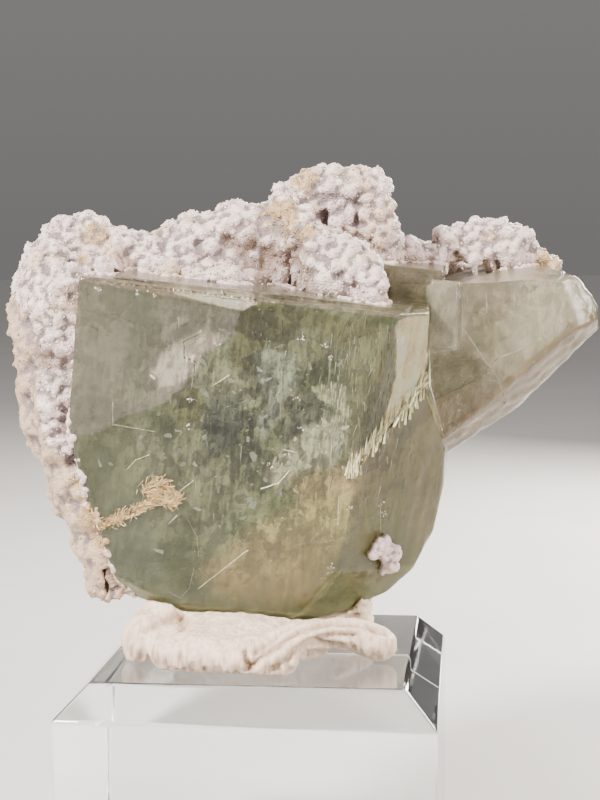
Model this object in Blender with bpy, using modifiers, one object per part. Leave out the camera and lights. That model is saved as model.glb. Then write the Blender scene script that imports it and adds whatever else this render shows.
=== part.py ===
"""A green fluorite specimen with a white quartz crust, set in putty on a clear acrylic display block.

The origin is the middle of the block's underside, +Z is up, and -Y is the side that faces the viewer.
Sizes are written in millimetres and turned into metres by MM.
"""

import math
import random

import bmesh
import bpy
from mathutils import Matrix, Vector
from mathutils.bvhtree import BVHTree

MM = 0.001

# Acrylic display block
BLOCK_SIDE = 38.1
BLOCK_HEIGHT = 25.4
BLOCK_CHAMFER = 3.2

# Clearance that neighbouring solids keep where they touch
GAP = 0.3

# How the main crystal sits: its top front edge drops to the right, and its front face leans out
CRYSTAL_ANCHOR = (0.0, -8.0, 63.65)
CRYSTAL_ROLL = math.radians(6.9)
CRYSTAL_LEAN = math.radians(5.0)
MAIN_DEPTH = 27.0

# Outline of the main crystal's front face in the crystal's own axes, from its top left corner clockwise:
# the first number runs along the top edge, the second up from it
MAIN_OUTLINE = (
    (-18.0, 0.0),
    (18.2, 0.0),
    (21.0, -12.0),
    (21.6, -19.0),
    (21.0, -24.5),
    (19.4, -28.6),
    (16.9, -31.4),
    (13.2, -33.2),
    (8.4, -34.3),
    (3.6, -35.1),
    (-2.5, -34.9),
    (-10.9, -33.8),
    (-18.0, -17.1),
)
# Flat faces that cut the main crystal, as a point on the face and the face's outward direction
MAIN_FACES = (
    ((12.6, 0.0, -20.0), (0.70, -0.71, -0.08)),
    ((17.6, 5.2, -27.0), (0.62, -0.66, -0.42)),
    ((15.2, 3.0, -31.4), (0.38, -0.54, -0.75)),
    ((3.0, 0.0, -33.2), (0.05, -0.72, -0.69)),
    ((-9.0, 0.0, -32.4), (-0.22, -0.70, -0.68)),
    ((0.0, 24.0, -33.0), (0.0, 0.60, -0.80)),
    ((20.6, 20.0, -14.0), (0.80, 0.60, -0.05)),
    ((-18.0, 20.0, -10.0), (-0.70, 0.70, -0.15)),
    ((10.0, 8.0, -34.0), (0.35, 0.25, -0.90)),
)
# The upper right corner is cleaved away in two cuts: each goes along a face, down to a ledge
CLEFTS = (
    (((14.7, 0.0, -1.3), (0.761, -0.639, -0.112)), ((12.6, 0.0, -15.8), (-0.757, -0.169, 0.639))),
    (((18.2, 4.0, -4.0), (0.99, 0.05, 0.05)), ((18.3, 0.0, -8.0), (0.926, 0.0, 0.376))),
)

# The rear crystal is a plain block in the main crystal's axes, low and high corners
REAR_LOW = (1.0, 13.0, -10.0)
REAR_HIGH = (18.8, 25.0, 3.4)

# The side crystal's outline in the row's X and Z, from its top left corner clockwise
SIDE_OUTLINE = (
    (13.0, 64.2),
    (33.6, 65.2),
    (35.7, 62.0),
    (35.9, 59.6),
    (27.4, 50.8),
    (18.8, 45.4),
    (13.0, 43.0),
)
SIDE_FRONT = 4.0
SIDE_DEPTH = 18.0
SIDE_RISE = 3.2
SIDE_FACES = (
    ((24.2, 4.0, 51.9), (0.56, -0.50, -0.66)),
    ((33.0, 4.0, 60.0), (0.42, -0.90, 0.10)),
    ((30.0, 20.0, 60.0), (0.60, 0.78, 0.15)),
    ((24.0, 20.0, 50.0), (0.20, 0.75, -0.63)),
    ((33.4, 10.0, 64.4), (0.70, 0.10, 0.71)),
)

# Growth steps: thin plates that stand proud of a face, as a low and a high corner in the main crystal's
# axes, with a turn about the face's own direction in degrees
TOP_STEPS = (
    ((-15.0, 1.2, -6.0), (3.0, 12.0, 0.35), 2.0),
    ((1.0, 2.2, -6.0), (16.0, 12.0, 0.30), -2.0),
)
SIDE_STEPS = (
    ((17.6, 3.5, 57.6), (20.6, 9.0, 64.9), 4.0),
)

# Chips broken out of the edges, as the middle of a small block that is cut away, its size and its turns
CHIPS = (
    ((-1.0, -8.6, 64.4), (9.0, 1.6, 1.3), (28.0, 6.0, 4.0)),
    ((17.2, -7.6, 61.9), (3.2, 2.2, 2.2), (35.0, 40.0, 20.0)),
    ((-10.5, -8.4, 65.6), (6.0, 1.2, 0.9), (35.0, 6.0, -3.0)),
)

# Crust: knobs run together along ridges, each given by points on its way with the radius there
CRUST_RIDGES = (
    # The left edge, the strip in front of it, and the rim along the crystal's left boundary
    (
        (-21.9, 5.0, 69.0, 3.5),
        (-24.7, 4.5, 65.8, 3.6),
        (-25.2, 4.0, 61.5, 3.4),
        (-23.9, 1.5, 50.0, 2.7),
        (-19.3, -1.0, 39.6, 2.4),
        (-16.4, -3.0, 32.0, 1.3),
    ),
    (
        (-22.9, 0.0, 67.3, 3.0),
        (-23.9, -1.0, 58.4, 2.9),
        (-23.6, -1.5, 49.7, 2.5),
        (-19.3, -2.5, 41.2, 2.2),
    ),
    (
        (-20.5, -4.8, 64.9, 2.2),
        (-22.2, -4.2, 50.0, 2.2),
        (-19.0, -3.7, 41.9, 2.0),
        (-17.2, -3.4, 33.5, 1.5),
    ),
    # The top, with a low course of it along the crystal's top face
    (
        (-21.4, 5.0, 69.0, 3.6),
        (-18.5, 4.0, 67.8, 2.7),
        (-10.9, 4.0, 67.6, 2.5),
        (-7.2, 5.0, 69.2, 3.1),
        (-3.2, 5.5, 70.7, 3.2),
        (0.4, 5.0, 69.4, 3.2),
        (3.6, 4.0, 67.5, 2.6),
    ),
    (
        (-16.5, 3.4, 66.8, 1.9),
        (-6.0, 4.2, 66.6, 2.4),
        (5.0, 4.8, 66.0, 2.4),
    ),
    # The tall lump at the back, and its right end, which goes down behind
    (
        (2.6, 7.5, 73.6, 2.0),
        (5.6, 8.5, 75.0, 2.1),
        (10.4, 8.5, 74.9, 2.2),
        (11.6, 8.5, 72.4, 2.0),
        (11.9, 8.5, 70.0, 2.0),
        (12.0, 9.5, 67.8, 2.2),
    ),
    # The branch in front of it, which hangs down over the top edge and forks
    (
        (1.6, 4.8, 72.2, 1.9),
        (3.4, 3.6, 70.8, 2.2),
        (5.6, 2.0, 69.3, 2.0),
        (7.4, 0.6, 67.4, 2.1),
        (9.4, -0.8, 66.7, 2.0),
        (11.0, -2.6, 66.6, 1.9),
        (11.6, -3.4, 64.6, 1.7),
        (11.5, -3.9, 63.6, 1.3),
    ),
    (
        (6.2, 1.6, 68.0, 2.2),
        (6.8, -0.4, 65.6, 1.9),
        (8.2, -1.4, 65.0, 1.6),
    ),
    # What the lump and the branch grow from
    (
        (1.8, 8.0, 70.6, 3.2),
        (5.0, 11.8, 71.6, 2.3),
        (9.6, 11.8, 71.6, 2.3),
        (5.4, 11.0, 68.0, 3.2),
        (9.6, 11.5, 67.6, 2.6),
        (13.4, 12.0, 67.1, 1.8),
        (17.0, 14.0, 67.0, 1.6),
    ),
    # The two bumps above the side crystal and their tail
    (
        (19.0, 15.0, 67.2, 1.9),
        (19.0, 15.0, 69.2, 1.9),
    ),
    (
        (22.4, 16.0, 68.3, 2.8),
        (25.9, 16.0, 68.2, 2.8),
        (28.8, 16.0, 67.2, 1.6),
        (31.0, 15.5, 66.0, 1.1),
    ),
    # Two courses behind the side crystal
    (
        (12.0, 18.5, 66.0, 3.8),
        (20.0, 20.5, 64.5, 3.8),
        (26.5, 19.8, 64.6, 3.0),
    ),
    (
        (12.0, 21.0, 59.5, 4.2),
        (20.5, 21.8, 60.0, 3.4),
        (26.0, 21.4, 61.5, 2.8),
    ),
)
# Behind and on the left the crust is a skin over the main crystal, ended along these planes in the
# crystal's axes, with knobs scattered over it
CRUST_SKIN = 1.8
BACK_ENDS = (
    ((0.0, 9.0, 0.0), (0.0, -1.0, 0.0)),
    ((-10.0, 0.0, -30.0), (0.36, 0.0, -0.93)),
    ((16.0, 27.0, 0.0), (0.90, -0.43, 0.0)),
)
LEFT_ENDS = (
    ((-15.5, 0.0, 0.0), (1.0, 0.0, 0.0)),
    ((0.0, 5.5, 0.0), (0.0, -1.0, 0.0)),
)
BACK_KNOB_RADIUS = (1.8, 3.6)
TOP_KNOB_SINK = 0.8
BACK_KNOB_STEP = 3.4
BACK_KNOB_TRIES = 600
BEAD_SPACING = 0.55
BEAD_JITTER = 0.35
PATCH_KNOBS = (
    (12.7, -2.4, 37.1, 1.2),
    (13.4, -1.5, 36.0, 1.1),
    (13.1, -1.0, 34.8, 1.0),
    (11.8, -2.7, 36.5, 0.9),
)
KNOB_SUBDIVISIONS = 2
GRAIN_SUBDIVISIONS = 1
GRAIN_SEED = 7
GRAIN_RADIUS = (1.1, 1.7)
GRAIN_STEP = 2.2
CRUST_VOXEL = 0.55
CRUST_TRIANGLES = 7000
PATCH_VOXEL = 0.22
PATCH_TRIANGLES = 260

# Putty: squeezed lumps, as the middle and the three half sizes of each, then pressed flat below
PUTTY_LUMPS = (
    ((-3.0, -3.0, 27.2), (11.5, 8.6, 3.4)),
    ((3.0, 3.0, 27.4), (9.0, 7.0, 3.6)),
    ((-11.6, -5.6, 27.3), (3.2, 4.2, 3.4)),
    ((-10.2, -3.0, 29.6), (3.0, 3.4, 3.2)),
    ((-6.0, -10.2, 27.0), (5.2, 2.8, 2.6)),
    ((0.5, -11.4, 26.9), (4.6, 2.5, 2.7)),
    ((10.0, 2.5, 30.4), (1.6, 3.6, 3.2)),
)
# The folded strand across its right half, as points on its path with the strand's radius there
PUTTY_STRAND = (
    (-0.5, -11.0, 27.4, 1.5),
    (2.8, -10.2, 28.4, 1.7),
    (6.0, -8.6, 29.0, 1.7),
    (9.2, -7.2, 28.8, 1.8),
    (11.6, -6.4, 27.9, 2.0),
    (12.9, -5.8, 27.2, 1.9),
)
PUTTY_VOXEL = 0.5
PUTTY_TRIANGLES = 1500

# Edges sharper than this stay sharp where a rounded piece is shaded smooth
SMOOTH_ANGLE = math.radians(35.0)


def mm(values):
    """A point or a size in millimetres as a vector in metres."""
    return Vector(values) * MM


def clear_scene():
    for old in list(bpy.data.objects):
        bpy.data.objects.remove(old, do_unlink=True)


def new_collection(name, hidden=False):
    made = bpy.data.collections.new(name)
    made.hide_render = hidden
    bpy.context.scene.collection.children.link(made)
    return made


def material(name, colour, roughness, clear=0.0, ior=1.45):
    made = bpy.data.materials.new(name)
    made.use_nodes = True
    shader = made.node_tree.nodes["Principled BSDF"]
    shader.inputs["Base Color"].default_value = (*colour, 1.0)
    shader.inputs["Roughness"].default_value = roughness
    shader.inputs["Metallic"].default_value = 0.0
    shader.inputs["Transmission Weight"].default_value = clear
    shader.inputs["IOR"].default_value = ior
    made.diffuse_color = (*colour, 1.0)
    return made


def object_from(bm, name, collection, finish=None):
    """Writes a bmesh into a new object that stands in the given collection."""
    bmesh.ops.recalc_face_normals(bm, faces=bm.faces)
    mesh = bpy.data.meshes.new(name)
    bm.to_mesh(mesh)
    bm.free()
    made = bpy.data.objects.new(name, mesh)
    if finish is not None:
        mesh.materials.append(finish)
    collection.objects.link(made)
    return made


def as_cutter(cutter):
    cutter.hide_render = True
    cutter.display_type = "WIRE"
    return cutter


def boolean(target, other, operation):
    cut = target.modifiers.new(other.name, "BOOLEAN")
    cut.operation = operation
    cut.object = as_cutter(other)


def crystal_axes():
    """The main crystal's frame: X along its top front edge, Y into its depth and Z up its height."""
    turn = Matrix.Rotation(CRYSTAL_ROLL, 4, "Y") @ Matrix.Rotation(CRYSTAL_LEAN, 4, "X")
    return Matrix.Translation(mm(CRYSTAL_ANCHOR)) @ turn


def prism(outline, front, depth, grow=0.0):
    """An outline in X and Z, drawn back along +Y into a solid. grow moves its walls outwards."""
    bm = bmesh.new()
    corners = [bm.verts.new(mm((x, front, z))) for x, z in outline]
    face = bm.faces.new(corners)
    drawn = bmesh.ops.extrude_face_region(bm, geom=[face])
    moved = [v for v in drawn["geom"] if isinstance(v, bmesh.types.BMVert)]
    bmesh.ops.translate(bm, verts=moved, vec=mm((0.0, depth, 0.0)))
    bmesh.ops.recalc_face_normals(bm, faces=bm.faces)
    if grow:
        push_out(bm, grow)
    return bm


def push_out(bm, distance):
    """Moves every flat face outwards by one distance, which keeps the faces flat and parallel."""
    moved = {}
    for vert in bm.verts:
        moved[vert] = vert.co + corner_shift(vert, distance * MM)
    for vert, place in moved.items():
        vert.co = place


def corner_shift(vert, distance):
    """The shift of one corner that puts each of its three faces out by the distance."""
    rows = Matrix([face.normal for face in vert.link_faces])
    return rows.inverted() @ Vector((distance, distance, distance))


def cut_flat(bm, point, direction, grow=0.0):
    """Cuts a closed solid by one plane, keeps what is behind it and closes the cut with a flat face."""
    normal = Vector(direction).normalized()
    bmesh.ops.bisect_plane(
        bm,
        geom=bm.verts[:] + bm.edges[:] + bm.faces[:],
        dist=1e-7,
        plane_co=mm(point) + normal * grow * MM,
        plane_no=normal,
        clear_outer=True,
    )
    rim = [edge for edge in bm.edges if edge.is_boundary]
    if rim:
        bmesh.ops.contextual_create(bm, geom=rim)
    bmesh.ops.recalc_face_normals(bm, faces=bm.faces)


def slab(low, high, grow=0.0):
    """A box between two corners."""
    low = mm(low) - Vector((grow, grow, grow)) * MM
    high = mm(high) + Vector((grow, grow, grow)) * MM
    bm = bmesh.new()
    place = Matrix.Translation((low + high) / 2) @ Matrix.Diagonal((*(high - low), 1.0))
    bmesh.ops.create_cube(bm, size=1.0, matrix=place)
    return bm


def main_crystal(grow, ends=()):
    """The main crystal with its faces moved out by grow. Further planes can end it sooner."""
    bm = prism(MAIN_OUTLINE, 0.0, MAIN_DEPTH, grow)
    for point, direction in MAIN_FACES:
        cut_flat(bm, point, direction, grow)
    for point, direction in ends:
        cut_flat(bm, point, direction)
    bmesh.ops.transform(bm, matrix=crystal_axes(), verts=bm.verts)
    return bm


def cleaved_away(cleft, grow):
    """What is outside a cleft's face and above its ledge, as a solid to cut off the main crystal."""
    bm = slab((-5.0, -20.0, -25.0), (35.0, 40.0, 20.0))
    for point, direction in cleft:
        inward = [-value for value in direction]
        cut_flat(bm, point, inward, -grow)
    bmesh.ops.transform(bm, matrix=crystal_axes(), verts=bm.verts)
    return bm


def rear_crystal(grow):
    bm = slab(REAR_LOW, REAR_HIGH, grow)
    bmesh.ops.transform(bm, matrix=crystal_axes(), verts=bm.verts)
    return bm


def side_crystal(grow):
    """A wedge that narrows to the right. Its top rises to the back."""
    bm = prism(SIDE_OUTLINE, SIDE_FRONT, SIDE_DEPTH, grow)
    back = (SIDE_FRONT + SIDE_DEPTH / 2) * MM
    top = min(SIDE_OUTLINE[0][1], SIDE_OUTLINE[1][1]) * MM
    raised = [v for v in bm.verts if v.co.y > back and v.co.z > top]
    bmesh.ops.translate(bm, verts=raised, vec=mm((0.0, 0.0, SIDE_RISE)))
    for point, direction in SIDE_FACES:
        cut_flat(bm, point, direction, grow)
    return bm


def step_plates(steps, axis, frame, grow):
    """Growth plates in the given frame, each turned a little about its face's own direction."""
    plates = []
    for low, high, degrees in steps:
        bm = slab(low, high, grow)
        turn = Matrix.Rotation(math.radians(degrees), 3, axis)
        bmesh.ops.rotate(bm, verts=bm.verts, cent=(mm(low) + mm(high)) / 2, matrix=turn)
        bmesh.ops.transform(bm, matrix=frame, verts=bm.verts)
        plates.append(bm)
    return plates


def chip(middle, size, turns):
    bm = bmesh.new()
    turn = Matrix.Identity(4)
    for degrees, axis in zip(turns, "XYZ"):
        turn = turn @ Matrix.Rotation(math.radians(degrees), 4, axis)
    place = Matrix.Translation(mm(middle)) @ turn @ Matrix.Diagonal((*mm(size), 1.0))
    bmesh.ops.create_cube(bm, size=1.0, matrix=place)
    return bm


def grown_together(name, collection, helpers, finish, grow):
    """The crystals and their growth steps in one solid, with every face moved out by grow."""
    crystals = object_from(main_crystal(grow), name, collection, finish)
    for number, cleft in enumerate(CLEFTS):
        removed = object_from(cleaved_away(cleft, grow), f"{name}_cleft_{number}", helpers)
        boolean(crystals, removed, "DIFFERENCE")
    joined = [rear_crystal(grow), side_crystal(grow)]
    joined += step_plates(TOP_STEPS, "Z", crystal_axes(), grow)
    joined += step_plates(SIDE_STEPS, "Y", Matrix.Identity(4), grow)
    for number, bm in enumerate(joined):
        boolean(crystals, object_from(bm, f"{name}_join_{number}", helpers), "UNION")
    return crystals


def fluorite(collection, helpers, finish):
    crystals = grown_together("fluorite_crystals", collection, helpers, finish, 0.0)
    for number, values in enumerate(CHIPS):
        boolean(crystals, object_from(chip(*values), f"chip_{number}", helpers), "DIFFERENCE")
    return crystals


def beads_along(path):
    """Balls along a path, close enough to fuse into a roll."""
    beads = []
    for start, end in zip(path, path[1:]):
        length = (Vector(end[:3]) - Vector(start[:3])).length
        count = math.ceil(length / (BEAD_SPACING * min(start[3], end[3])))
        for step in range(count):
            share = step / count
            beads.append(tuple(a + (b - a) * share for a, b in zip(start, end)))
    beads.append(path[-1])
    return beads


def add_copy(bm, other):
    """Moves one bmesh's faces into another."""
    carried = bpy.data.meshes.new("carried")
    other.to_mesh(carried)
    other.free()
    bm.from_mesh(carried)
    bpy.data.meshes.remove(carried)


def add_balls(bm, balls, subdivisions):
    for x, y, z, radius in balls:
        place = Matrix.Translation(mm((x, y, z)))
        bmesh.ops.create_icosphere(bm, subdivisions=subdivisions, radius=radius * MM, matrix=place)


def jittered(beads, rng):
    """The same balls, each a little out of place and out of size, so that a ridge is lumpy."""
    moved = []
    for x, y, z, radius in beads:
        place = [value + rng.uniform(-BEAD_JITTER, BEAD_JITTER) for value in (x, y, z)]
        moved.append((*place, radius + rng.uniform(-BEAD_JITTER, BEAD_JITTER)))
    return moved


def random_direction(rng):
    return Vector([rng.gauss(0.0, 1.0) for _ in range(3)]).normalized()


def knobs_over(skin, rng):
    """Knobs at random places of a skin, found by looking outwards from its middle, sunk into its top."""
    tree = BVHTree.FromBMesh(skin)
    middle = sum((v.co for v in skin.verts), Vector()) / len(skin.verts)
    knobs = []
    for _ in range(BACK_KNOB_TRIES):
        direction = random_direction(rng)
        place = tree.ray_cast(middle, direction)[0] / MM
        if all((place - Vector(k[:3])).length > BACK_KNOB_STEP for k in knobs):
            radius = rng.uniform(*BACK_KNOB_RADIUS)
            place.z -= radius * TOP_KNOB_SINK * max(direction.z, 0.0)
            knobs.append((*place, radius))
    return knobs


def grains_on(beads, rng):
    """Smaller knobs over the ridges, only where they would show and not in each other's place."""
    grains = []
    for x, y, z, radius in beads:
        for _ in range(round(2.0 * radius * radius)):
            direction = random_direction(rng)
            place = Vector((x, y, z)) + direction * radius
            buried = any((place - Vector(b[:3])).length < b[3] * 0.92 for b in beads)
            crowded = any((place - Vector(g[:3])).length < GRAIN_STEP for g in grains)
            if not buried and not crowded:
                size = rng.uniform(*GRAIN_RADIUS)
                grains.append((*(place - direction * size * 0.35), size))
    return grains


def fuse(target, voxel, triangles):
    """Runs overlapping lumps together into one skin, then thins it to about the given triangle count."""
    skin = target.modifiers.new("fuse", "REMESH")
    skin.mode = "VOXEL"
    skin.voxel_size = voxel * MM
    soften = target.modifiers.new("soften", "SMOOTH")
    soften.factor = 0.5
    soften.iterations = 2
    graph = bpy.context.evaluated_depsgraph_get()
    mesh = target.evaluated_get(graph).to_mesh()
    mesh.calc_loop_triangles()
    thin = target.modifiers.new("thin", "DECIMATE")
    thin.ratio = min(1.0, triangles / len(mesh.loop_triangles))


def crust(collection, room, finish):
    rng = random.Random(GRAIN_SEED)
    beads = jittered([bead for ridge in CRUST_RIDGES for bead in beads_along(ridge)], rng)
    bm = bmesh.new()
    for ends in (BACK_ENDS, LEFT_ENDS):
        skin = main_crystal(CRUST_SKIN, ends)
        beads += knobs_over(skin, rng)
        add_copy(bm, skin)
    add_balls(bm, beads, KNOB_SUBDIVISIONS)
    add_balls(bm, grains_on(beads, rng), GRAIN_SUBDIVISIONS)
    made = object_from(bm, "quartz_crust", collection, finish)
    fuse(made, CRUST_VOXEL, CRUST_TRIANGLES)
    boolean(made, room, "DIFFERENCE")
    return made


def patch(collection, room, finish):
    bm = bmesh.new()
    add_balls(bm, PATCH_KNOBS, KNOB_SUBDIVISIONS)
    made = object_from(bm, "quartz_patch", collection, finish)
    fuse(made, PATCH_VOXEL, PATCH_TRIANGLES)
    boolean(made, room, "DIFFERENCE")
    return made


def putty(collection, room, helpers, finish):
    bm = bmesh.new()
    add_balls(bm, beads_along(PUTTY_STRAND), KNOB_SUBDIVISIONS)
    for middle, halves in PUTTY_LUMPS:
        place = Matrix.Translation(mm(middle)) @ Matrix.Diagonal((*halves, 1.0))
        bmesh.ops.create_icosphere(bm, subdivisions=KNOB_SUBDIVISIONS, radius=MM, matrix=place)
    made = object_from(bm, "mineral_putty", collection, finish)
    fuse(made, PUTTY_VOXEL, PUTTY_TRIANGLES)
    half = BLOCK_SIDE / 2
    below = slab((-half, -half, BLOCK_HEIGHT / 2), (half, half, BLOCK_HEIGHT + GAP))
    boolean(made, object_from(below, "block_room", helpers), "DIFFERENCE")
    boolean(made, room, "DIFFERENCE")
    return made


def block(collection, finish):
    """A clear cast block with its four top edges chamfered and polished."""
    half = BLOCK_SIDE / 2
    bm = slab((-half, -half, 0.0), (half, half, BLOCK_HEIGHT))
    middle = BLOCK_HEIGHT / 2 * MM
    rim = [e for e in bm.edges if all(v.co.z > middle for v in e.verts)]
    bmesh.ops.bevel(
        bm,
        geom=rim,
        offset=BLOCK_CHAMFER * MM,
        offset_type="OFFSET",
        affect="EDGES",
        segments=1,
        profile=0.5,
        material=-1,
    )
    return object_from(bm, "acrylic_block", collection, finish)


def shade(made):
    made.data.shade_smooth()
    made.data.set_sharp_from_angle(angle=SMOOTH_ANGLE)


def main():
    clear_scene()
    specimen = new_collection("fluorite_specimen")
    helpers = new_collection("cutters", hidden=True)
    green = material("fluorite", (0.42, 0.47, 0.36), 0.15, clear=0.7, ior=1.434)
    white = material("quartz", (0.78, 0.72, 0.70), 0.6)
    cream = material("putty", (0.85, 0.79, 0.71), 0.55)
    clear = material("acrylic", (0.95, 0.95, 0.95), 0.02, clear=1.0, ior=1.49)
    fluorite(specimen, helpers, green)
    room = as_cutter(grown_together("fluorite_room", helpers, helpers, None, GAP))
    shade(crust(specimen, room, white))
    shade(patch(specimen, room, white))
    shade(putty(specimen, room, helpers, cream))
    block(specimen, clear)


main()
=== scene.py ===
import math

import bmesh
import bpy
import numpy as np
from mathutils import Matrix, Vector, noise
from mathutils.bvhtree import BVHTree


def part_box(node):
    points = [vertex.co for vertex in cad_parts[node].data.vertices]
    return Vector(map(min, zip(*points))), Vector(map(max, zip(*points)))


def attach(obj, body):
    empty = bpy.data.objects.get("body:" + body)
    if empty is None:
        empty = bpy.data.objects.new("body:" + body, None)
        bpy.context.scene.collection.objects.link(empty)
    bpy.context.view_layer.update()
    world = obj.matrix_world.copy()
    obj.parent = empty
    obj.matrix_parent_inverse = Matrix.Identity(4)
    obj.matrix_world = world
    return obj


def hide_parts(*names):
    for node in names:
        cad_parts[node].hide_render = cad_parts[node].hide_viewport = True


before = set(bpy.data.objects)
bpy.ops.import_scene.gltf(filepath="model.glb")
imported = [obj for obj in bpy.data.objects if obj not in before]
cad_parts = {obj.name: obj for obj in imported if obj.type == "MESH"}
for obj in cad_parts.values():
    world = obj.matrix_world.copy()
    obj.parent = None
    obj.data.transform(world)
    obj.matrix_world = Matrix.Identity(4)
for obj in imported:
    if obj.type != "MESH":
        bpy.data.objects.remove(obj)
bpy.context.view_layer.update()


# The view. The camera stands a little above the middle of the specimen and to the right of it, about
# 17 cm away, and looks slightly down at the front face of the large crystal.
MM = 0.001
CAMERA_PLACE = Vector((22.59, -169.34, 69.18)) * MM
CAMERA_YAW, CAMERA_PITCH, CAMERA_ROLL = (math.radians(a) for a in (-6.29, -5.64, -0.47))
CAMERA_LENS, CAMERA_SENSOR = 71.94, 36.0
CAMERA_NEAR, CAMERA_FAR = 0.01, 20.0


def in_scene(name, data):
    """A new object in the scene."""
    thing = bpy.data.objects.new(name, data)
    bpy.context.scene.collection.objects.link(thing)
    return thing


camera = in_scene("view", bpy.data.cameras.new("view"))
camera.data.lens, camera.data.sensor_width = CAMERA_LENS, CAMERA_SENSOR
camera.data.clip_start, camera.data.clip_end = CAMERA_NEAR, CAMERA_FAR
camera.matrix_world = (
    Matrix.Translation(CAMERA_PLACE)
    @ Matrix.Rotation(-CAMERA_YAW, 4, "Z")
    @ Matrix.Rotation(math.pi / 2 + CAMERA_PITCH, 4, "X")
    @ Matrix.Rotation(CAMERA_ROLL, 4, "Z")
)
bpy.context.scene.camera = camera


# The light: a pale studio dome, brighter overhead than at the horizon, one large soft lamp above and in front
# on the left, a weaker one on the right, and one behind that shines through the crystals.
STUDIO_HORIZON, STUDIO_TOP = (0.42, 0.41, 0.40, 1), (0.95, 0.92, 0.89, 1)
STUDIO_STRENGTH = 0.42
LAMPS = {  # name: (place in mm, side in mm, watts, colour)
    "key": ((-230, -210, 300), 100, 6.6, (1.0, 0.95, 0.90)),
    "fill": ((270, -160, 150), 140, 1.9, (1.0, 0.93, 0.87)),
    "back": ((150, 260, 170), 180, 3.4, (1.0, 0.94, 0.84)),
}
LAMP_AIM = Vector((0, 0, 52)) * MM

world = bpy.data.worlds.new("studio")
bpy.context.scene.world = world
world.use_nodes = True
dome = world.node_tree
height = dome.nodes.new("ShaderNodeSeparateXYZ")
dome.links.new(dome.nodes.new("ShaderNodeTexCoord").outputs["Generated"], height.inputs[0])
sky = dome.nodes.new("ShaderNodeMix")
sky.data_type = "RGBA"
dome.links.new(height.outputs["Z"], sky.inputs[0])
sky.inputs[6].default_value, sky.inputs[7].default_value = STUDIO_HORIZON, STUDIO_TOP
dome.links.new(sky.outputs[2], dome.nodes["Background"].inputs["Color"])
dome.nodes["Background"].inputs["Strength"].default_value = STUDIO_STRENGTH
for name, (place, side, watts, colour) in LAMPS.items():
    lamp = in_scene(name, bpy.data.lights.new(name, "AREA"))
    lamp.data.shape, lamp.data.size = "DISK", side * MM
    lamp.data.energy, lamp.data.color = watts, colour
    lamp.location = Vector(place) * MM
    lamp.rotation_euler = (LAMP_AIM - lamp.location).to_track_quat("-Z", "Y").to_euler()


# The floor: a wide, round, pale sheet of matt board that the block stands on. It is slightly cloudy, and lies
# a hair below the block's underside.
FLOOR_RADIUS, FLOOR_SIDES = 3.0, 96
FLOOR_DROP = 0.1 * MM
FLOOR_DARK, FLOOR_LIGHT = (0.56, 0.55, 0.54, 1), (0.59, 0.58, 0.57, 1)
FLOOR_ROUGHNESS = 0.6
FLOOR_CLOUDS = 0.02  # clouds a millimetre


def fill(socket, value):
    """Links an input to another node's output, or sets it to a plain value."""
    if isinstance(value, bpy.types.NodeSocket):
        socket.id_data.links.new(value, socket)
    else:
        socket.default_value = value


def put(node, **inputs):
    """Fills a node's inputs by name."""
    for name, value in inputs.items():
        fill(node.inputs[name.replace("_", " ")], value)
    return node


def node_beside(kind, *values):
    """A new node in the tree of the first value that is another node's output."""
    tree = next(value.id_data for value in values if isinstance(value, bpy.types.NodeSocket))
    return tree.nodes.new("ShaderNode" + kind)


def finish_of(name, **inputs):
    """A new material, its node tree and its shader, with the shader's inputs set."""
    material = bpy.data.materials.new(name)
    material.use_nodes = True
    tree = material.node_tree
    return material, tree, put(tree.nodes["Principled BSDF"], **inputs)


def speckle(place, scale, detail, roughness=0.5):
    """Soft random patches between 0 and 1."""
    node = node_beside("TexNoise", place)
    return put(node, Vector=place, Scale=scale, Detail=detail, Roughness=roughness).outputs["Fac"]


def fade(value, low, high, start=0.0, end=1.0):
    """Goes smoothly from start to end as the value goes from low to high."""
    node = node_beside("MapRange", value)
    node.interpolation_type = "SMOOTHSTEP"
    return put(node, Value=value, From_Min=low, From_Max=high, To_Min=start, To_Max=end).outputs["Result"]


def calc(operation, *values, kind="Math"):
    """One sum on numbers or, where the kind is VectorMath, on places or colours."""
    node = node_beside(kind, *values)
    node.operation = operation
    for socket, value in zip(node.inputs, values):
        fill(socket, value)
    return node.outputs[0]


def paint(share, under, over):
    """The colour over, laid on the colour under by the share."""
    node = node_beside("Mix", share)
    node.data_type = "RGBA"
    for number, value in ((0, share), (6, under), (7, over)):
        fill(node.inputs[number], value)
    return node.outputs[2]


def bumpy(height, distance, strength=1.0):
    """A bump's normal for the shader; the distance is the height of the relief in metres."""
    return put(node_beside("Bump", height), Height=height, Distance=distance,
               Strength=strength).outputs["Normal"]


def object_place(tree, scale=(MM, MM, MM), location=(0, 0, 0), rotation=(0, 0, 0)):
    """Places on the piece in millimetres, from the given point and turned by the given angles."""
    node = tree.nodes.new("ShaderNodeMapping")
    node.vector_type = "TEXTURE"
    at = tree.nodes.new("ShaderNodeTexCoord").outputs["Object"]
    return put(node, Vector=at, Location=location, Rotation=rotation, Scale=scale).outputs["Vector"]


def as_mesh(bm, name):
    """The mesh of a finished bmesh, which is freed."""
    mesh = bpy.data.meshes.new(name)
    bm.to_mesh(mesh)
    bm.free()
    return mesh


board, tree, shader = finish_of("pale_board", Roughness=FLOOR_ROUGHNESS)
clouds = speckle(object_place(tree), FLOOR_CLOUDS, detail=3)
put(shader, Base_Color=paint(fade(clouds, 0.3, 0.7), FLOOR_DARK, FLOOR_LIGHT))
bm = bmesh.new()
bmesh.ops.create_circle(bm, cap_ends=True, segments=FLOOR_SIDES, radius=FLOOR_RADIUS,
                        matrix=Matrix.Translation((0, 0, -FLOOR_DROP)))
floor = in_scene("floor", as_mesh(bm, "floor"))
floor.data.materials.append(board)


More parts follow.
